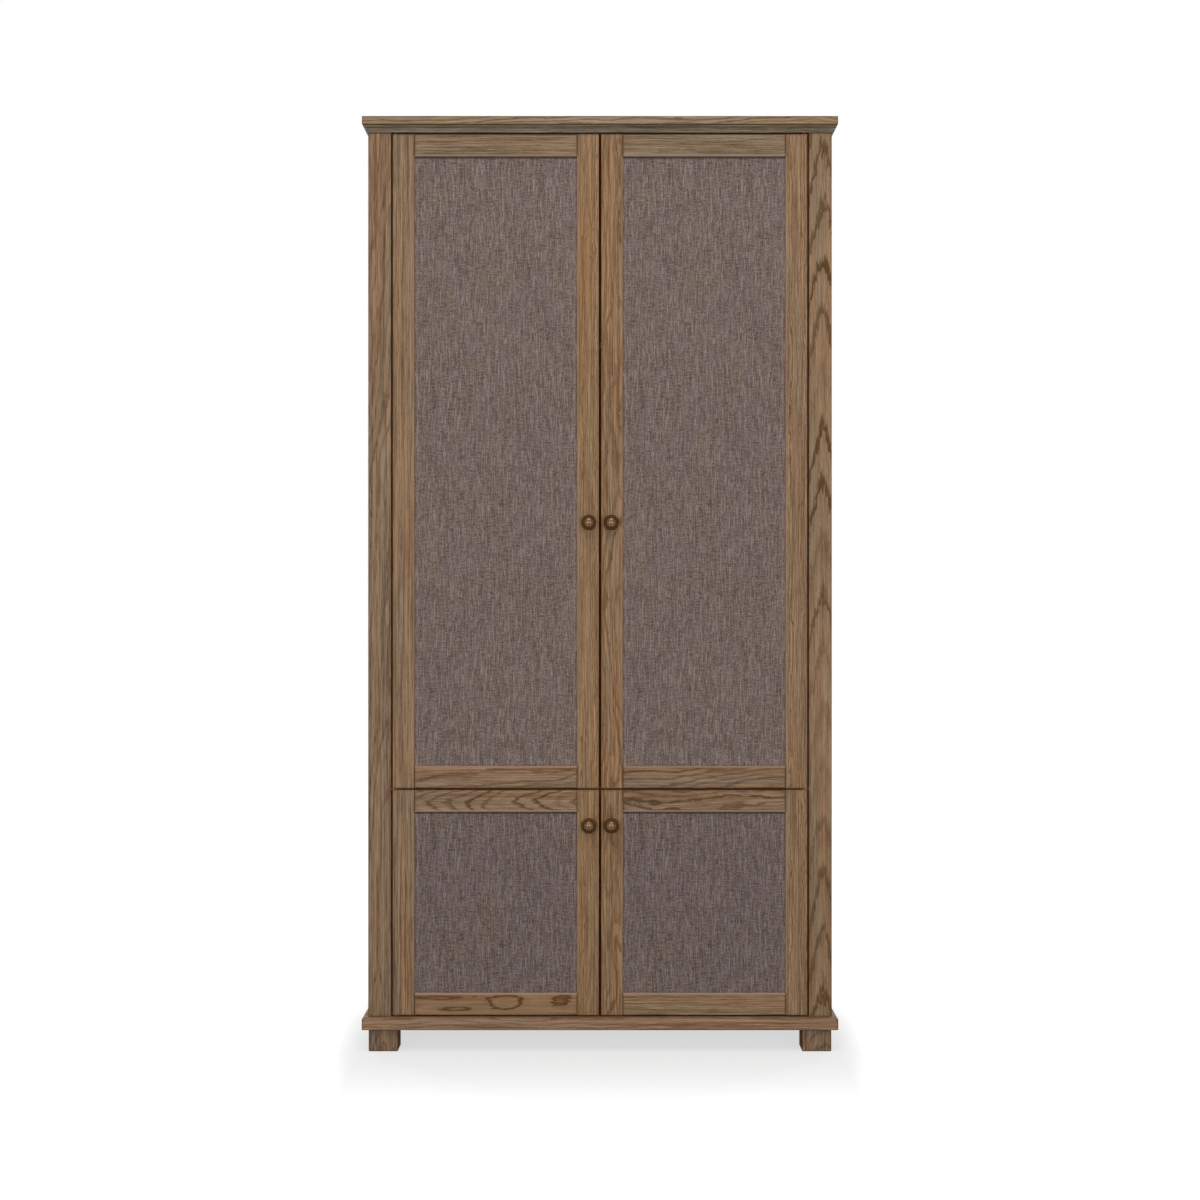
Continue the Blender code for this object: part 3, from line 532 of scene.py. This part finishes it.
def linen(name, tone, sight_half):
    """Slubbed linen. Its UV map is the flat cloth in metres, from the middle of the panel."""
    finish = Finish(name)
    place = finish.add("ShaderNodeUVMap", {"uv_map": "cloth"}).outputs[0]
    across, up, _ = finish.split(place)
    weave = plain_weave(finish, place)
    upright = finish.noise(place, (0.0020, 0.034, 1), 5.0, 2.0, 0.6) - 0.5
    picks = finish.noise(place, (0.022, 0.0022, 1), 9.0, 2.0, 0.6) - 0.5
    specks = finish.noise(place, (0.0022, 0.0042, 1), 11.0, 2.0, 0.6) - 0.5
    slubs = finish.step(finish.noise(place, (0.0019, 0.024, 1), 15.0, 1.0), 0.57, 0.67)
    flecks = finish.step(finish.noise(place, (0.012, 0.0020, 1), 21.0, 1.0), 0.64, 0.70)
    hues = finish.noise(place, (0.050, 0.090, 1), 27.0, 3.0, 0.6)
    beside = sight_half[0] - abs(across)
    # Painted highlight on the low roll of the cloth beside the stiles.
    line = finish.step(beside, 0.0040, 0.0052) * (1 - finish.step(beside, 0.0070, 0.0088))
    # Painted shadow of the top rail, along the top of the linen.
    rail_shadow = 1 - finish.step(sight_half[1] - up, 0.0030, 0.0064)

    light = 0.38 + upright * 1.7 + picks * 1.5 + specks * 2.0 + weave * 0.14 + line * 0.22
    cool = finish.mixed(light, toned(tone, -THREAD_STEPS, VIOLET), toned(tone, THREAD_STEPS, VIOLET))
    warm = finish.mixed(light, toned(tone, -THREAD_STEPS, SAND), toned(tone, THREAD_STEPS, SAND))
    colour = finish.mixed(finish.step(hues, 0.36, 0.64), cool, warm)
    colour = finish.mixed(finish.maths("MAXIMUM", slubs, flecks) * 0.60, colour, toned(tone, SLUB_STEPS))
    colour = finish.mixed(rail_shadow * 0.7, colour, toned(tone, RAIL_SHADOW_STEPS))
    height = weave + slubs * 0.8 + flecks * 0.8 + upright
    fixed = {"Sheen Weight": 0.12, "Sheen Roughness": 0.6, "Specular IOR Level": 0.15}
    return finish.done(finish.surface(colour, 0.86 + weave * 0.1, finish.relief(height, 0.0003), fixed))


def panel_board_finish():
    """Brown fibre board, smooth, with fine fibres and soft clouds."""
    finish = Finish("panel_board")
    place = finish.object_place()
    fibres = finish.noise(place, (0.0015, 0.0015, 0.0015), 2.0, 4.0, 0.7)
    clouds = finish.noise(place, (0.06, 0.06, 0.06), 4.0, 2.0)
    colour = finish.mixed(fibres, linear((104, 78, 54)), linear((142, 110, 78)))
    colour = finish.shaded(colour, 0.85 + clouds * 0.3)
    normal = finish.relief(fibres, 0.0002)
    rough = 0.62 + fibres * 0.2
    return finish.done(finish.surface(colour, rough, normal, {"Specular IOR Level": SPECULAR}))


def knob_finish():
    """Aged brass: dark on the rim and the rose, with patina there and on the rim also a painted dark
    reflection; rubbed bright nearer the axis, as on the dome.
    """
    finish = Finish("aged_brass")
    place = finish.object_place()
    turned = finish.add("ShaderNodeAttribute", {"attribute_name": "turned_radius"})
    radius = Field(finish, turned.outputs["Fac"])
    patches = finish.noise(place, (0.0022, 0.0022, 0.0022), 3.0, 4.0, 0.6)
    scratches = finish.noise(place, (0.0006, 0.0006, 0.0040), 8.0, 2.0)
    rubbed = 1 - finish.step(radius + (patches - 0.5) * 0.002, 0.0095, 0.0115)
    # Off the dome the brass is dark: patina, and on the rim also a painted dark reflection of the
    # surroundings.
    colour = finish.mixed(rubbed, linear((66, 45, 23)), linear((92, 66, 37)))
    colour = finish.shaded(colour, 0.75 + patches * 0.5)
    rough = 0.46 - rubbed * 0.24 + scratches * 0.06
    normal = finish.relief(patches + scratches, 0.00006)
    fixed = {"Metallic": 1.0, "Coat Roughness": 0.05, "Coat Weight": rubbed * 0.6}
    return finish.done(finish.surface(colour, rough, normal, fixed))


def metal_finish(name, tone, roughness):
    finish = Finish(name)
    return finish.done(metal_surface(finish, tone, roughness, 2.0))


def catch_finish():
    """Brown moulded plastic, with steel poles where it stands forward."""
    finish = Finish("catch_brown")
    place = finish.object_place()
    grain = finish.noise(place, (0.0006, 0.0006, 0.0006), 6.0, 3.0)
    colour = finish.mixed(grain, linear((70, 50, 34)), linear((92, 68, 47)))
    body = finish.surface(colour, 0.42 + grain * 0.15, finish.relief(grain, 0.0001), {})
    poles = metal_surface(finish, STEEL, PLATE_ROUGHNESS, 4.0)
    pole_face = finish.maths("LESS_THAN", finish.split(place)[1], POLE_FACE)
    return finish.done(layered(finish, pole_face, body, poles))


# Meshes

def new_piece(name, builder, material):
    """A mesh object at the origin from a bmesh, which is freed."""
    mesh = bpy.data.meshes.new(name)
    builder.to_mesh(mesh)
    builder.free()
    mesh.materials.append(material)
    piece = bpy.data.objects.new(name, mesh)
    bpy.context.scene.collection.objects.link(piece)
    return piece


def baked(piece):
    """The piece with its modifiers applied, as a plain mesh."""
    bpy.context.view_layer.update()
    graph = bpy.context.evaluated_depsgraph_get()
    mesh = bpy.data.meshes.new_from_object(piece.evaluated_get(graph), depsgraph=graph)
    piece.modifiers.clear()
    piece.data = mesh
    return piece


def spaced(low, high, pitch):
    """Places from low to high, evenly apart by about the pitch."""
    count = max(1, round((high - low) / pitch))
    return [low + (high - low) * step / count for step in range(count + 1)]


def cloth_lines(half, sight):
    """Grid lines across the front of a stretched cloth: close together at the welt, even inside it."""
    border = [half - CLOTH_ROUND, sight]
    welt = [sight - WELT_INSET + share * WELT_HALF for share in (1, 0.5, 0, -0.5, -1)]
    edge = border + welt
    inner = spaced(-edge[-1], edge[-1], CLOTH_MESH)
    return [-place for place in edge[:-1]] + inner + edge[-2::-1]


def welt_rise(x, z, sight_half):
    """Height of the low roll that the cloth makes just inside its frame."""
    inset = min(sight_half[0] - abs(x), sight_half[1] - abs(z))
    offset = abs(inset - WELT_INSET) / WELT_HALF
    return WELT_RISE * (1 - offset ** 2) ** 2 if offset < 1 else 0.0


def cloth_profile(depth):
    """How the cloth turns round the board's edge, as (inset, depth from the front, length of cloth)."""
    quarter = math.pi / 2
    steps = 4
    points = []
    for step in range(1, steps + 1):
        angle = quarter * step / steps
        points.append((CLOTH_ROUND * (1 - math.sin(angle)), CLOTH_ROUND * (1 - math.cos(angle)),
                       CLOTH_ROUND * angle))
    side = depth - 2 * CLOTH_ROUND
    length = CLOTH_ROUND * quarter + side
    for step in range(steps + 1):
        angle = quarter * step / steps
        points.append((CLOTH_ROUND * (1 - math.cos(angle)), depth - CLOTH_ROUND * (1 - math.sin(angle)),
                       length + CLOTH_ROUND * angle))
    length += CLOTH_ROUND * quarter
    for place in spaced(CLOTH_ROUND, CLOTH_RETURN, CLOTH_MESH)[1:]:
        points.append((place, depth, length + place - CLOTH_ROUND))
    return points


def boundary_keys(columns, rows):
    """Grid places round the outside of a front, in order."""
    bottom = [(column, 0) for column in range(columns)]
    right = [(columns - 1, row) for row in range(1, rows)]
    top = [(column, rows - 1) for column in range(columns - 2, -1, -1)]
    left = [(0, row) for row in range(rows - 2, 0, -1)]
    return bottom + right + top + left


def front_of_cloth(builder, flat, low, high, xs, zs, sight_half):
    """Front of a stretched cloth, by column and row. Flat keeps where each place lies on the cloth."""
    middle = (low + high) / 2
    front = {}
    for column, x in enumerate(xs):
        for row, z in enumerate(zs):
            vert = builder.verts.new((middle.x + x, low.y - welt_rise(x, z, sight_half), middle.z + z))
            front[column, row] = vert
            flat[vert] = (x, z)
    for column in range(len(xs) - 1):
        for row in range(len(zs) - 1):
            builder.faces.new((front[column, row], front[column + 1, row],
                               front[column + 1, row + 1], front[column, row + 1]))
    return front


def rim_of_cloth(builder, flat, low, high, xs, zs, front):
    """Takes the front's edge round the board and in behind it, mitred at the corners."""
    middle = (low + high) / 2
    half = (high - low) / 2
    keys = boundary_keys(len(xs), len(zs))
    ring = [front[key] for key in keys]
    for inset, depth, length in cloth_profile(high.y - low.y):
        shrink_x = (half.x - inset) / (half.x - CLOTH_ROUND)
        shrink_z = (half.z - inset) / (half.z - CLOTH_ROUND)
        turned = []
        for column, row in keys:
            x, z = xs[column], zs[row]
            vert = builder.verts.new((middle.x + x * shrink_x, low.y + depth, middle.z + z * shrink_z))
            out_x = (column == len(xs) - 1) - (column == 0)
            out_z = (row == len(zs) - 1) - (row == 0)
            flat[vert] = (x + out_x * length, z + out_z * length)
            turned.append(vert)
        for index in range(len(keys)):
            after = (index + 1) % len(keys)
            builder.faces.new((ring[after], ring[index], turned[index], turned[after]))
        ring = turned


def stretched_cloth(name, low, high, sight_half, material):
    """Linen over a board, and its size when it is laid flat."""
    half = (high - low) / 2
    xs = cloth_lines(half.x, sight_half[0])
    zs = cloth_lines(half.z, sight_half[1])
    builder = bmesh.new()
    uv_layer = builder.loops.layers.uv.new("cloth")
    flat = {}
    front = front_of_cloth(builder, flat, low, high, xs, zs, sight_half)
    rim_of_cloth(builder, flat, low, high, xs, zs, front)
    for face in builder.faces:
        face.smooth = True
        for loop in face.loops:
            loop[uv_layer].uv = flat[loop.vert]
    cloth = new_piece(name, builder, material)
    add_slack(cloth)
    thickness = cloth.modifiers.new("thickness", "SOLIDIFY")
    thickness.thickness = CLOTH_THICKNESS
    thickness.offset = -1
    baked(cloth)
    cloth_length = cloth_profile(high.y - low.y)[-1][2]
    cut = tuple(2 * (part - CLOTH_ROUND + cloth_length) for part in (half.x, half.z))
    return cloth, cut


# Geometry Nodes

class Recipe(Nodes):
    """A Geometry Nodes tree with named inputs, ending in one material."""

    def __init__(self, name, inputs):
        tree = bpy.data.node_groups.new(name, "GeometryNodeTree")
        tree.interface.new_socket("Geometry", in_out="INPUT", socket_type="NodeSocketGeometry")
        tree.interface.new_socket("Geometry", in_out="OUTPUT", socket_type="NodeSocketGeometry")
        for label, kind in inputs.items():
            tree.interface.new_socket(label, in_out="INPUT", socket_type=f"NodeSocket{kind}")
        super().__init__(tree)
        self.given = self.add("NodeGroupInput").outputs

    def number(self, label):
        return Field(self, self.given[label])

    def end(self, geometry, material):
        """Ends the tree: instances made real, then the material."""
        real = self.add("GeometryNodeRealizeInstances", {}, {0: geometry}).outputs[0]
        painted = self.add("GeometryNodeSetMaterial", {}, {"Geometry": real, "Material": material})
        self.add("NodeGroupOutput", {}, {0: painted.outputs[0]})

    def apply(self, piece, values):
        """Runs the tree on a piece with these input values."""
        modifier = piece.modifiers.new(self.tree.name, "NODES")
        modifier.node_group = self.tree
        for item in self.tree.interface.items_tree:
            if item.name in values:
                modifier[item.identifier] = values[item.name]


def slack_recipe(material):
    """Moves a cloth's surface in and out a little, in long soft folds with the weave."""
    inputs = {"Depth": "Float", "Width": "Float", "Length": "Float", "Seed": "Float"}
    recipe = Recipe("linen_slack", inputs)
    place = recipe.add("GeometryNodeInputPosition").outputs[0]
    parts = recipe.add("ShaderNodeSeparateXYZ", {}, {0: place}).outputs
    x, _, z = (Field(recipe, socket) for socket in parts)
    folds = {0: x / recipe.number("Width"), 1: z / recipe.number("Length")}
    spread = recipe.add("ShaderNodeCombineXYZ", {}, folds).outputs[0]
    noise = recipe.add("ShaderNodeTexNoise", {"noise_dimensions": "4D"},
                       {"Vector": spread, "W": recipe.number("Seed"), "Scale": 1.0, "Detail": 1.0})
    depth = (Field(recipe, noise.outputs[0]) - 0.5) * recipe.number("Depth")
    normal = recipe.add("GeometryNodeInputNormal").outputs[0]
    scaled = recipe.add("ShaderNodeVectorMath", {"operation": "SCALE"}, {0: normal, "Scale": depth})
    moved = recipe.add("GeometryNodeSetPosition", {},
                       {"Geometry": recipe.given["Geometry"], "Offset": scaled.outputs[0]})
    recipe.end(moved.outputs[0], material)
    return recipe


SLACK_RECIPES = {}


def add_slack(cloth):
    """Soft unevenness of the stretched cloth."""
    material = cloth.data.materials[0]
    if material.name not in SLACK_RECIPES:
        SLACK_RECIPES[material.name] = slack_recipe(material)
    SLACK_RECIPES[material.name].apply(cloth, {**SLACK, "Seed": float(len(cloth.name))})


def copies_on(recipe, points, fitting, facing, space, axis, low, high):
    """Copies of a fitting on points, each facing along a vector and turned by chance about an axis."""
    towards = recipe.add("FunctionNodeAlignRotationToVector", {"axis": "Z"}, {"Vector": facing})
    angle = recipe.add("FunctionNodeRandomValue", {"data_type": "FLOAT"},
                       {2: low, 3: high, "Seed": recipe.given["Seed"]}).outputs[1]
    about = recipe.add("FunctionNodeAxisAngleToRotation", {}, {"Axis": axis, "Angle": angle})
    turned = recipe.add("FunctionNodeRotateRotation", {"rotation_space": space},
                        {"Rotation": towards.outputs[0], "Rotate By": about.outputs[0]})
    sockets = {"Points": points, "Instance": fitting, "Rotation": turned.outputs[0]}
    return recipe.add("GeometryNodeInstanceOnPoints", {}, sockets).outputs[0]


def heads_on(recipe, points, head, facing):
    """Copies of a round head, turned by chance about its own axis."""
    return copies_on(recipe, points, head, facing, "LOCAL", (0, 0, 1), 0.0, math.tau)


def spaced_path(recipe):
    """The given path, with its points apart by the given spacing."""
    curve = recipe.add("GeometryNodeMeshToCurve", {}, {0: recipe.given["Geometry"]}).outputs[0]
    sockets = {"Curve": curve, "Length": recipe.given["Spacing"]}
    return recipe.add("GeometryNodeResampleCurve", {"mode": "LENGTH"}, sockets).outputs[0]


def screw_recipe(material):
    """Low slotted heads, one on each point, facing along its own direction."""
    inputs = {"Head Radius": "Float", "Rise": "Float", "Slot": "Float", "Seed": "Int"}
    recipe = Recipe("slotted_screws", inputs)
    radius, rise, slot = (recipe.number(label) for label in ("Head Radius", "Rise", "Slot"))
    sockets = {"Vertices": 24, "Radius Top": radius * 0.94, "Radius Bottom": radius, "Depth": rise}
    disc = recipe.add("GeometryNodeMeshCone", {}, sockets)
    size = recipe.add("ShaderNodeCombineXYZ", {}, {0: radius * 3, 1: slot, 2: rise})
    cutter = recipe.add("GeometryNodeMeshCube", {}, {"Size": size.outputs[0]}).outputs[0]
    lift = recipe.add("ShaderNodeCombineXYZ", {}, {2: rise}).outputs[0]
    raised = recipe.add("GeometryNodeTransform", {}, {"Geometry": cutter, "Translation": lift}).outputs[0]
    slotted = recipe.add("GeometryNodeMeshBoolean", {"operation": "DIFFERENCE", "solver": "EXACT"},
                         {0: disc.outputs[0], 1: raised}).outputs[0]
    points = recipe.add("GeometryNodeMeshToPoints", {}, {"Mesh": recipe.given["Geometry"]}).outputs[0]
    facing = recipe.add("GeometryNodeInputNamedAttribute", {"data_type": "FLOAT_VECTOR"},
                        {"Name": "facing"}).outputs[0]
    recipe.end(heads_on(recipe, points, slotted, facing), material)
    return recipe


def staple_recipe(material):
    """Wire staples along a path, each lying nearly along it."""
    recipe = Recipe("staples", {"Spacing": "Float", "Length": "Float", "Wire": "Float", "Seed": "Int"})
    length, wire = recipe.number("Length"), recipe.number("Wire")
    sockets = {"Vertices": 8, "Side Segments": 10, "Radius": wire, "Depth": length}
    bar = recipe.add("GeometryNodeMeshCylinder", {}, sockets).outputs[0]
    place = recipe.add("GeometryNodeInputPosition").outputs[0]
    up = Field(recipe, recipe.add("ShaderNodeSeparateXYZ", {}, {0: place}).outputs[2])
    reach = abs(up) / length * 2
    drop = recipe.maths("MAXIMUM", reach - 0.8, 0.0) * wire * 8
    bend = recipe.add("ShaderNodeCombineXYZ", {}, {1: drop}).outputs[0]
    bent = recipe.add("GeometryNodeSetPosition", {}, {"Geometry": bar, "Offset": bend}).outputs[0]
    points = recipe.add("GeometryNodeCurveToPoints", {"mode": "EVALUATED"}, {"Curve": spaced_path(recipe)})
    row = copies_on(recipe, points.outputs[0], bent, points.outputs["Tangent"], "GLOBAL", (0, 1, 0),
                    -STAPLE_LEAN, STAPLE_LEAN)
    recipe.end(row, material)
    return recipe


def pin_recipe(material):
    """Small tapered pin heads along a path, facing backwards."""
    inputs = {"Spacing": "Float", "Head Radius": "Float", "Rise": "Float", "Seed": "Int"}
    recipe = Recipe("panel_pins", inputs)
    radius = recipe.number("Head Radius")
    sockets = {"Vertices": 16, "Side Segments": 2, "Radius Top": radius * 0.7,
               "Radius Bottom": radius, "Depth": recipe.given["Rise"]}
    head = recipe.add("GeometryNodeMeshCone", {}, sockets)
    recipe.end(heads_on(recipe, spaced_path(recipe), head.outputs[0], (0, 1, 0)), material)
    return recipe


def path_piece(name, paths, material):
    """An object whose mesh is only open paths, for a recipe to work on."""
    builder = bmesh.new()
    for points in paths:
        verts = [builder.verts.new(point) for point in points]
        for pair in zip(verts, verts[1:]):
            builder.edges.new(pair)
    return new_piece(name, builder, material)


def point_piece(name, places, material):
    """An object whose mesh is only points, each with the direction it faces."""
    builder = bmesh.new()
    facing = builder.verts.layers.float_vector.new("facing")
    for place, direction in places:
        builder.verts.new(place)[facing] = Vector(direction)
    return new_piece(name, builder, material)


# Knobs

def arc(middle, radius, start, end):
    """Points of an arc from one angle to another, both in degrees."""
    start, end = math.radians(start), math.radians(end)
    count = max(2, math.ceil(abs(end - start) / ARC_STEP))
    angles = [start + (end - start) * step / count for step in range(count + 1)]
    across, out = middle
    return [(across + radius * math.cos(angle), out + radius * math.sin(angle)) for angle in angles]


def knob_profile():
    """Half profile of the turned knob as (radius, distance out from the door)."""
    stud = [(0.0, -0.0145), (0.0019, -0.0145), (0.0019, 0.0004)]
    rose = [(0.0106, 0.0004)] + arc((0.0102, 0.0013), 0.0009, -60, 90)
    neck = arc((0.0118, 0.0086), 0.0062, 255, 128)
    swell = [(0.0104, 0.0148), (0.0128, 0.0155)]
    rim = arc((0.0142, 0.0188), 0.0029, -80, 85)
    groove = [(0.0128, 0.0222)] + arc((0.0117, 0.0226), 0.0007, 340, 200)
    dome_radius = 0.0169
    edge_angle = math.degrees(math.acos(0.0108 / dome_radius))
    dome = arc((0.0, KNOB_REACH - dome_radius), dome_radius, edge_angle, 90)
    dome[-1] = (0.0, KNOB_REACH)
    return stud + rose + neck + swell + rim + groove + dome


def turned_ring(builder, radius_layer, centre, radius):
    """Places round the knob's axis. On the axis it is one place, which stands for all of them."""
    count = KNOB_STEPS if radius else 1
    ring = []
    for step in range(count):
        angle = math.tau * step / count
        vert = builder.verts.new(centre + Vector((math.cos(angle), 0, math.sin(angle))) * radius)
        vert[radius_layer] = radius
        ring.append(vert)
    return ring * (KNOB_STEPS // count)


def turned_knob(side, level, material):
    """The knob turned about its own axis, square to the door."""
    node = f"{side}_{level}_knob"
    low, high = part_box(node)
    middle = (low + high) / 2
    face = low.y + KNOB_DEPTH
    builder = bmesh.new()
    layer = builder.verts.layers.float.new("turned_radius")
    rings = [turned_ring(builder, layer, Vector((middle.x, face - out, middle.z)), radius)
             for radius, out in knob_profile()]
    for ring, following in zip(rings, rings[1:]):
        for step in range(KNOB_STEPS):
            after = (step + 1) % KNOB_STEPS
            corners = (ring[step], ring[after], following[after], following[step])
            builder.faces.new(list(dict.fromkeys(corners)))
    knob = new_piece(f"{side}_{level}_turned_knob", builder, material)
    knob.data.shade_smooth()
    knob.data.set_sharp_from_angle(angle=SHARP_ANGLE)
    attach(knob, f"{side}_{level}_door")
    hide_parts(node)


# Doors

def panel_board(name, low, high, material):
    """Thin board that the linen is stretched over."""
    clearance = Vector((1, 1, 1)) * BOARD_CLEARANCE
    size = high - low - 2 * clearance
    middle = (low + high) / 2
    builder = bmesh.new()
    bmesh.ops.create_cube(builder, size=1)
    for vert in builder.verts:
        vert.co = Vector(part * share for part, share in zip(vert.co, size)) + middle
    bmesh.ops.bevel(builder, geom=builder.edges[:], offset=BOARD_ARRIS, segments=2, profile=0.5,
                    affect="EDGES")
    return new_piece(name, builder, material)


def dress_panel(side, level, cloth_material, board_material):
    """Board and linen of one door."""
    name = f"{side}_{level}"
    node = f"{name}_fabric_panel"
    low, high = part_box(node)
    board = panel_board(f"{name}_panel_board", low, high, board_material)
    cloth, cut = stretched_cloth(f"{name}_linen", low, high, linen_sight(side, level), cloth_material)
    for piece, slot in ((board, "oak_plywood"), (cloth, f"linen_{level}")):
        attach(piece, f"{name}_door")
        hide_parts(node)


def staple_linen(side, level, staples, steel):
    """Rows of staples behind a panel, which hold the linen that is turned in."""
    name = f"{side}_{level}"
    low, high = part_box(f"{name}_fabric_panel")
    back = high.y + STAPLE_LIFT
    left, right = low.x + STAPLE_INSET, high.x - STAPLE_INSET
    bottom, top = low.z + STAPLE_INSET, high.z - STAPLE_INSET
    low_start, high_start = bottom + STAPLE_MARGIN, top - STAPLE_MARGIN
    left_start, right_start = left + STAPLE_MARGIN, right - STAPLE_MARGIN
    runs = [
        [(left, back, low_start), (left, back, high_start)],
        [(right, back, low_start), (right, back, high_start)],
        [(left_start, back, bottom), (right_start, back, bottom)],
        [(left_start, back, top), (right_start, back, top)],
    ]
    row = path_piece(f"{name}_staples", runs, steel)
    staples.apply(row, {**STAPLE, "Seed": len(name)})
    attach(baked(row), f"{name}_door")


def leaf_screws(node, face, direction):
    """Places of the two screws of a hinge leaf, on its shown face, past the pin."""
    low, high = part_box(node)
    outward = -1 if low.x < 0 else 1
    pin = PIN_AXIS * outward
    y = (low.y + high.y) / 2
    return [((pin - outward * along, y, face), (0, 0, direction)) for along in SCREW_PLACES]


def door_screws(side, level, screws, steel):
    """Screws of a door's two leaves and of its strike plate."""
    name = f"{side}_{level}"
    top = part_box(f"{name}_top_leaf")[1].z
    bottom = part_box(f"{name}_bottom_leaf")[0].z
    places = leaf_screws(f"{name}_top_leaf", top, 1) + leaf_screws(f"{name}_bottom_leaf", bottom, -1)
    stile_low, stile_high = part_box(f"{name}_inner_stile")
    catch_low, catch_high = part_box(f"{level}_catch")
    strike_height = (catch_low.z + catch_high.z) / 2 - STRIKE_DROP
    places.append((((stile_low.x + stile_high.x) / 2, stile_high.y, strike_height), (0, 1, 0)))
    row = point_piece(f"{name}_screws", places, steel)
    screws.apply(row, {**SCREW, "Seed": len(name)})
    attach(baked(row), f"{name}_door")


def dress_back(pins, steel):
    """Pins that hold the back panel to the shelves and at its two ends."""
    low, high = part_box("back_panel")
    heights = [low.z + PIN_INSET, high.z - PIN_INSET]
    for shelf in SHELVES:
        heights.append(sum(corner.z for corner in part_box(shelf)) / 2)
    reach = high.x - 2 * PIN_INSET
    paths = [[(-reach, high.y, height), (reach, high.y, height)] for height in heights]
    rows = path_piece("back_panel_pins", paths, steel)
    pins.apply(rows, PANEL_PIN)
    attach(baked(rows), "carcass")


# Camera and studio

def make_camera():
    data = bpy.data.cameras.new("camera")
    data.sensor_width = FILM_WIDTH
    data.lens = LENS
    camera = bpy.data.objects.new("camera", data)
    camera.location = CAMERA_PLACE
    camera.rotation_euler = (math.pi / 2, 0, 0)
    bpy.context.scene.collection.objects.link(camera)
    bpy.context.scene.camera = camera


def make_lamp(name, plan, side=1):
    """A soft rectangular lamp aimed at its target, on the right or, with side -1, on the left."""
    data = bpy.data.lights.new(name, "AREA")
    data.shape = "RECTANGLE"
    data.size, data.size_y = plan.size
    data.energy = plan.power
    across, deep, height = plan.place
    place = Vector((across * side, deep, height))
    lamp = bpy.data.objects.new(name, data)
    lamp.location = place
    aim = Vector(plan.target) - place
    lamp.rotation_euler = aim.to_track_quat("-Z", "Y").to_euler()
    bpy.context.scene.collection.objects.link(lamp)


def seen_rays(nodes):
    """1 for rays from the camera and for those that shiny surfaces reflect or let through."""
    path = nodes.add("ShaderNodeLightPath").outputs
    camera = Field(nodes, path["Is Camera Ray"])
    glossy = Field(nodes, path["Is Glossy Ray"])
    through = Field(nodes, path["Is Transmission Ray"])
    return nodes.maths("MINIMUM", camera + glossy + through, 1.0)


def make_floor():
    """Pale floor: plain paint, which keeps the shadow, and a glow seen by the camera and shiny surfaces,
    whole in the distance and weaker near the cabinet, which paints shade round it.
    """
    finish = Finish("studio_floor")
    plain = finish.add("ShaderNodeBsdfDiffuse", {}, {"Color": FLOOR_PAINT}).outputs[0]
    along, deep, _ = finish.split(finish.object_place())
    beside = finish.maths("MAXIMUM", abs(along) - CAD_BOUNDS[1][0], 0.0) / PAINTED_SHADE_BESIDE
    before = finish.maths("MAXIMUM", abs(deep) - CAD_BOUNDS[1][1], 0.0) / PAINTED_SHADE_BEFORE
    # Less glow near the cabinet paints shade round it, beside it and before or behind it.
    glow_past_painted_shade = finish.step(beside + before, 0.0, 1.0) * FLOOR_GLOW_MORE
    strength = seen_rays(finish) * (FLOOR_GLOW + glow_past_painted_shade)
    glow = finish.add("ShaderNodeEmission", {}, {"Color": WHITE, "Strength": strength}).outputs[0]
    both = finish.add("ShaderNodeAddShader", {}, {0: plain, 1: glow}).outputs[0]
    builder = bmesh.new()
    bmesh.ops.create_grid(builder, x_segments=8, y_segments=8, size=FLOOR_SIZE / 2)
    new_piece("floor", builder, finish.done(both))


def make_world():
    world = bpy.data.worlds.new("studio")
    world.use_nodes = True
    nodes = Nodes(world.node_tree)
    nodes.tree.nodes.clear()
    light = nodes.add("ShaderNodeBackground", {}, {"Color": WHITE, "Strength": WORLD_LIGHT}).outputs[0]
    white = nodes.add("ShaderNodeBackground", {}, {"Color": WHITE, "Strength": 1.0}).outputs[0]
    mixed = nodes.add("ShaderNodeMixShader", {}, {0: seen_rays(nodes), 1: light, 2: white}).outputs[0]
    nodes.add("ShaderNodeOutputWorld", {}, {"Surface": mixed})
    bpy.context.scene.world = world


def make_studio():
    scene = bpy.context.scene
    scene.view_settings.view_transform = "Standard"
    make_camera()
    make_world()
    make_floor()
    for side in (-1, 1):
        make_lamp("softbox", SOFTBOX, side)
        make_lamp("back_fill", BACK_FILL, side)
    make_lamp("front_light", FRONT_LIGHT)
    make_lamp("top_light", TOP_LIGHT)


def dress_cabinet():
    steel = metal_finish("screw_steel", STEEL, 0.35)
    bronze = metal_finish("hinge_bronze", BRONZE, 0.38)
    catch = catch_finish()
    brass = knob_finish()
    board = panel_board_finish()
    staples = staple_recipe(steel)
    screws = screw_recipe(bronze)
    finish_carcass()
    for level in LEVELS:
        paint(f"{level}_catch", catch)
        cloth = linen(f"linen_{level}", LINEN_TONES_WITH_PAINTED_SHADE[level], linen_sight("left", level))
        for side in SIDES:
            finish_door_frame(side, level)
            turned_knob(side, level, brass)
            dress_panel(side, level, cloth, board)
            staple_linen(side, level, staples, steel)
            door_screws(side, level, screws, bronze)
            for end in ("top", "bottom"):
                paint(f"{side}_{level}_{end}_leaf", bronze)
    for side in SIDES:
        for place in ("top", "middle", "bottom"):
            paint(f"{place}_pivot_{side}", bronze)
    dress_back(pin_recipe(steel), steel)


dress_cabinet()
make_studio()
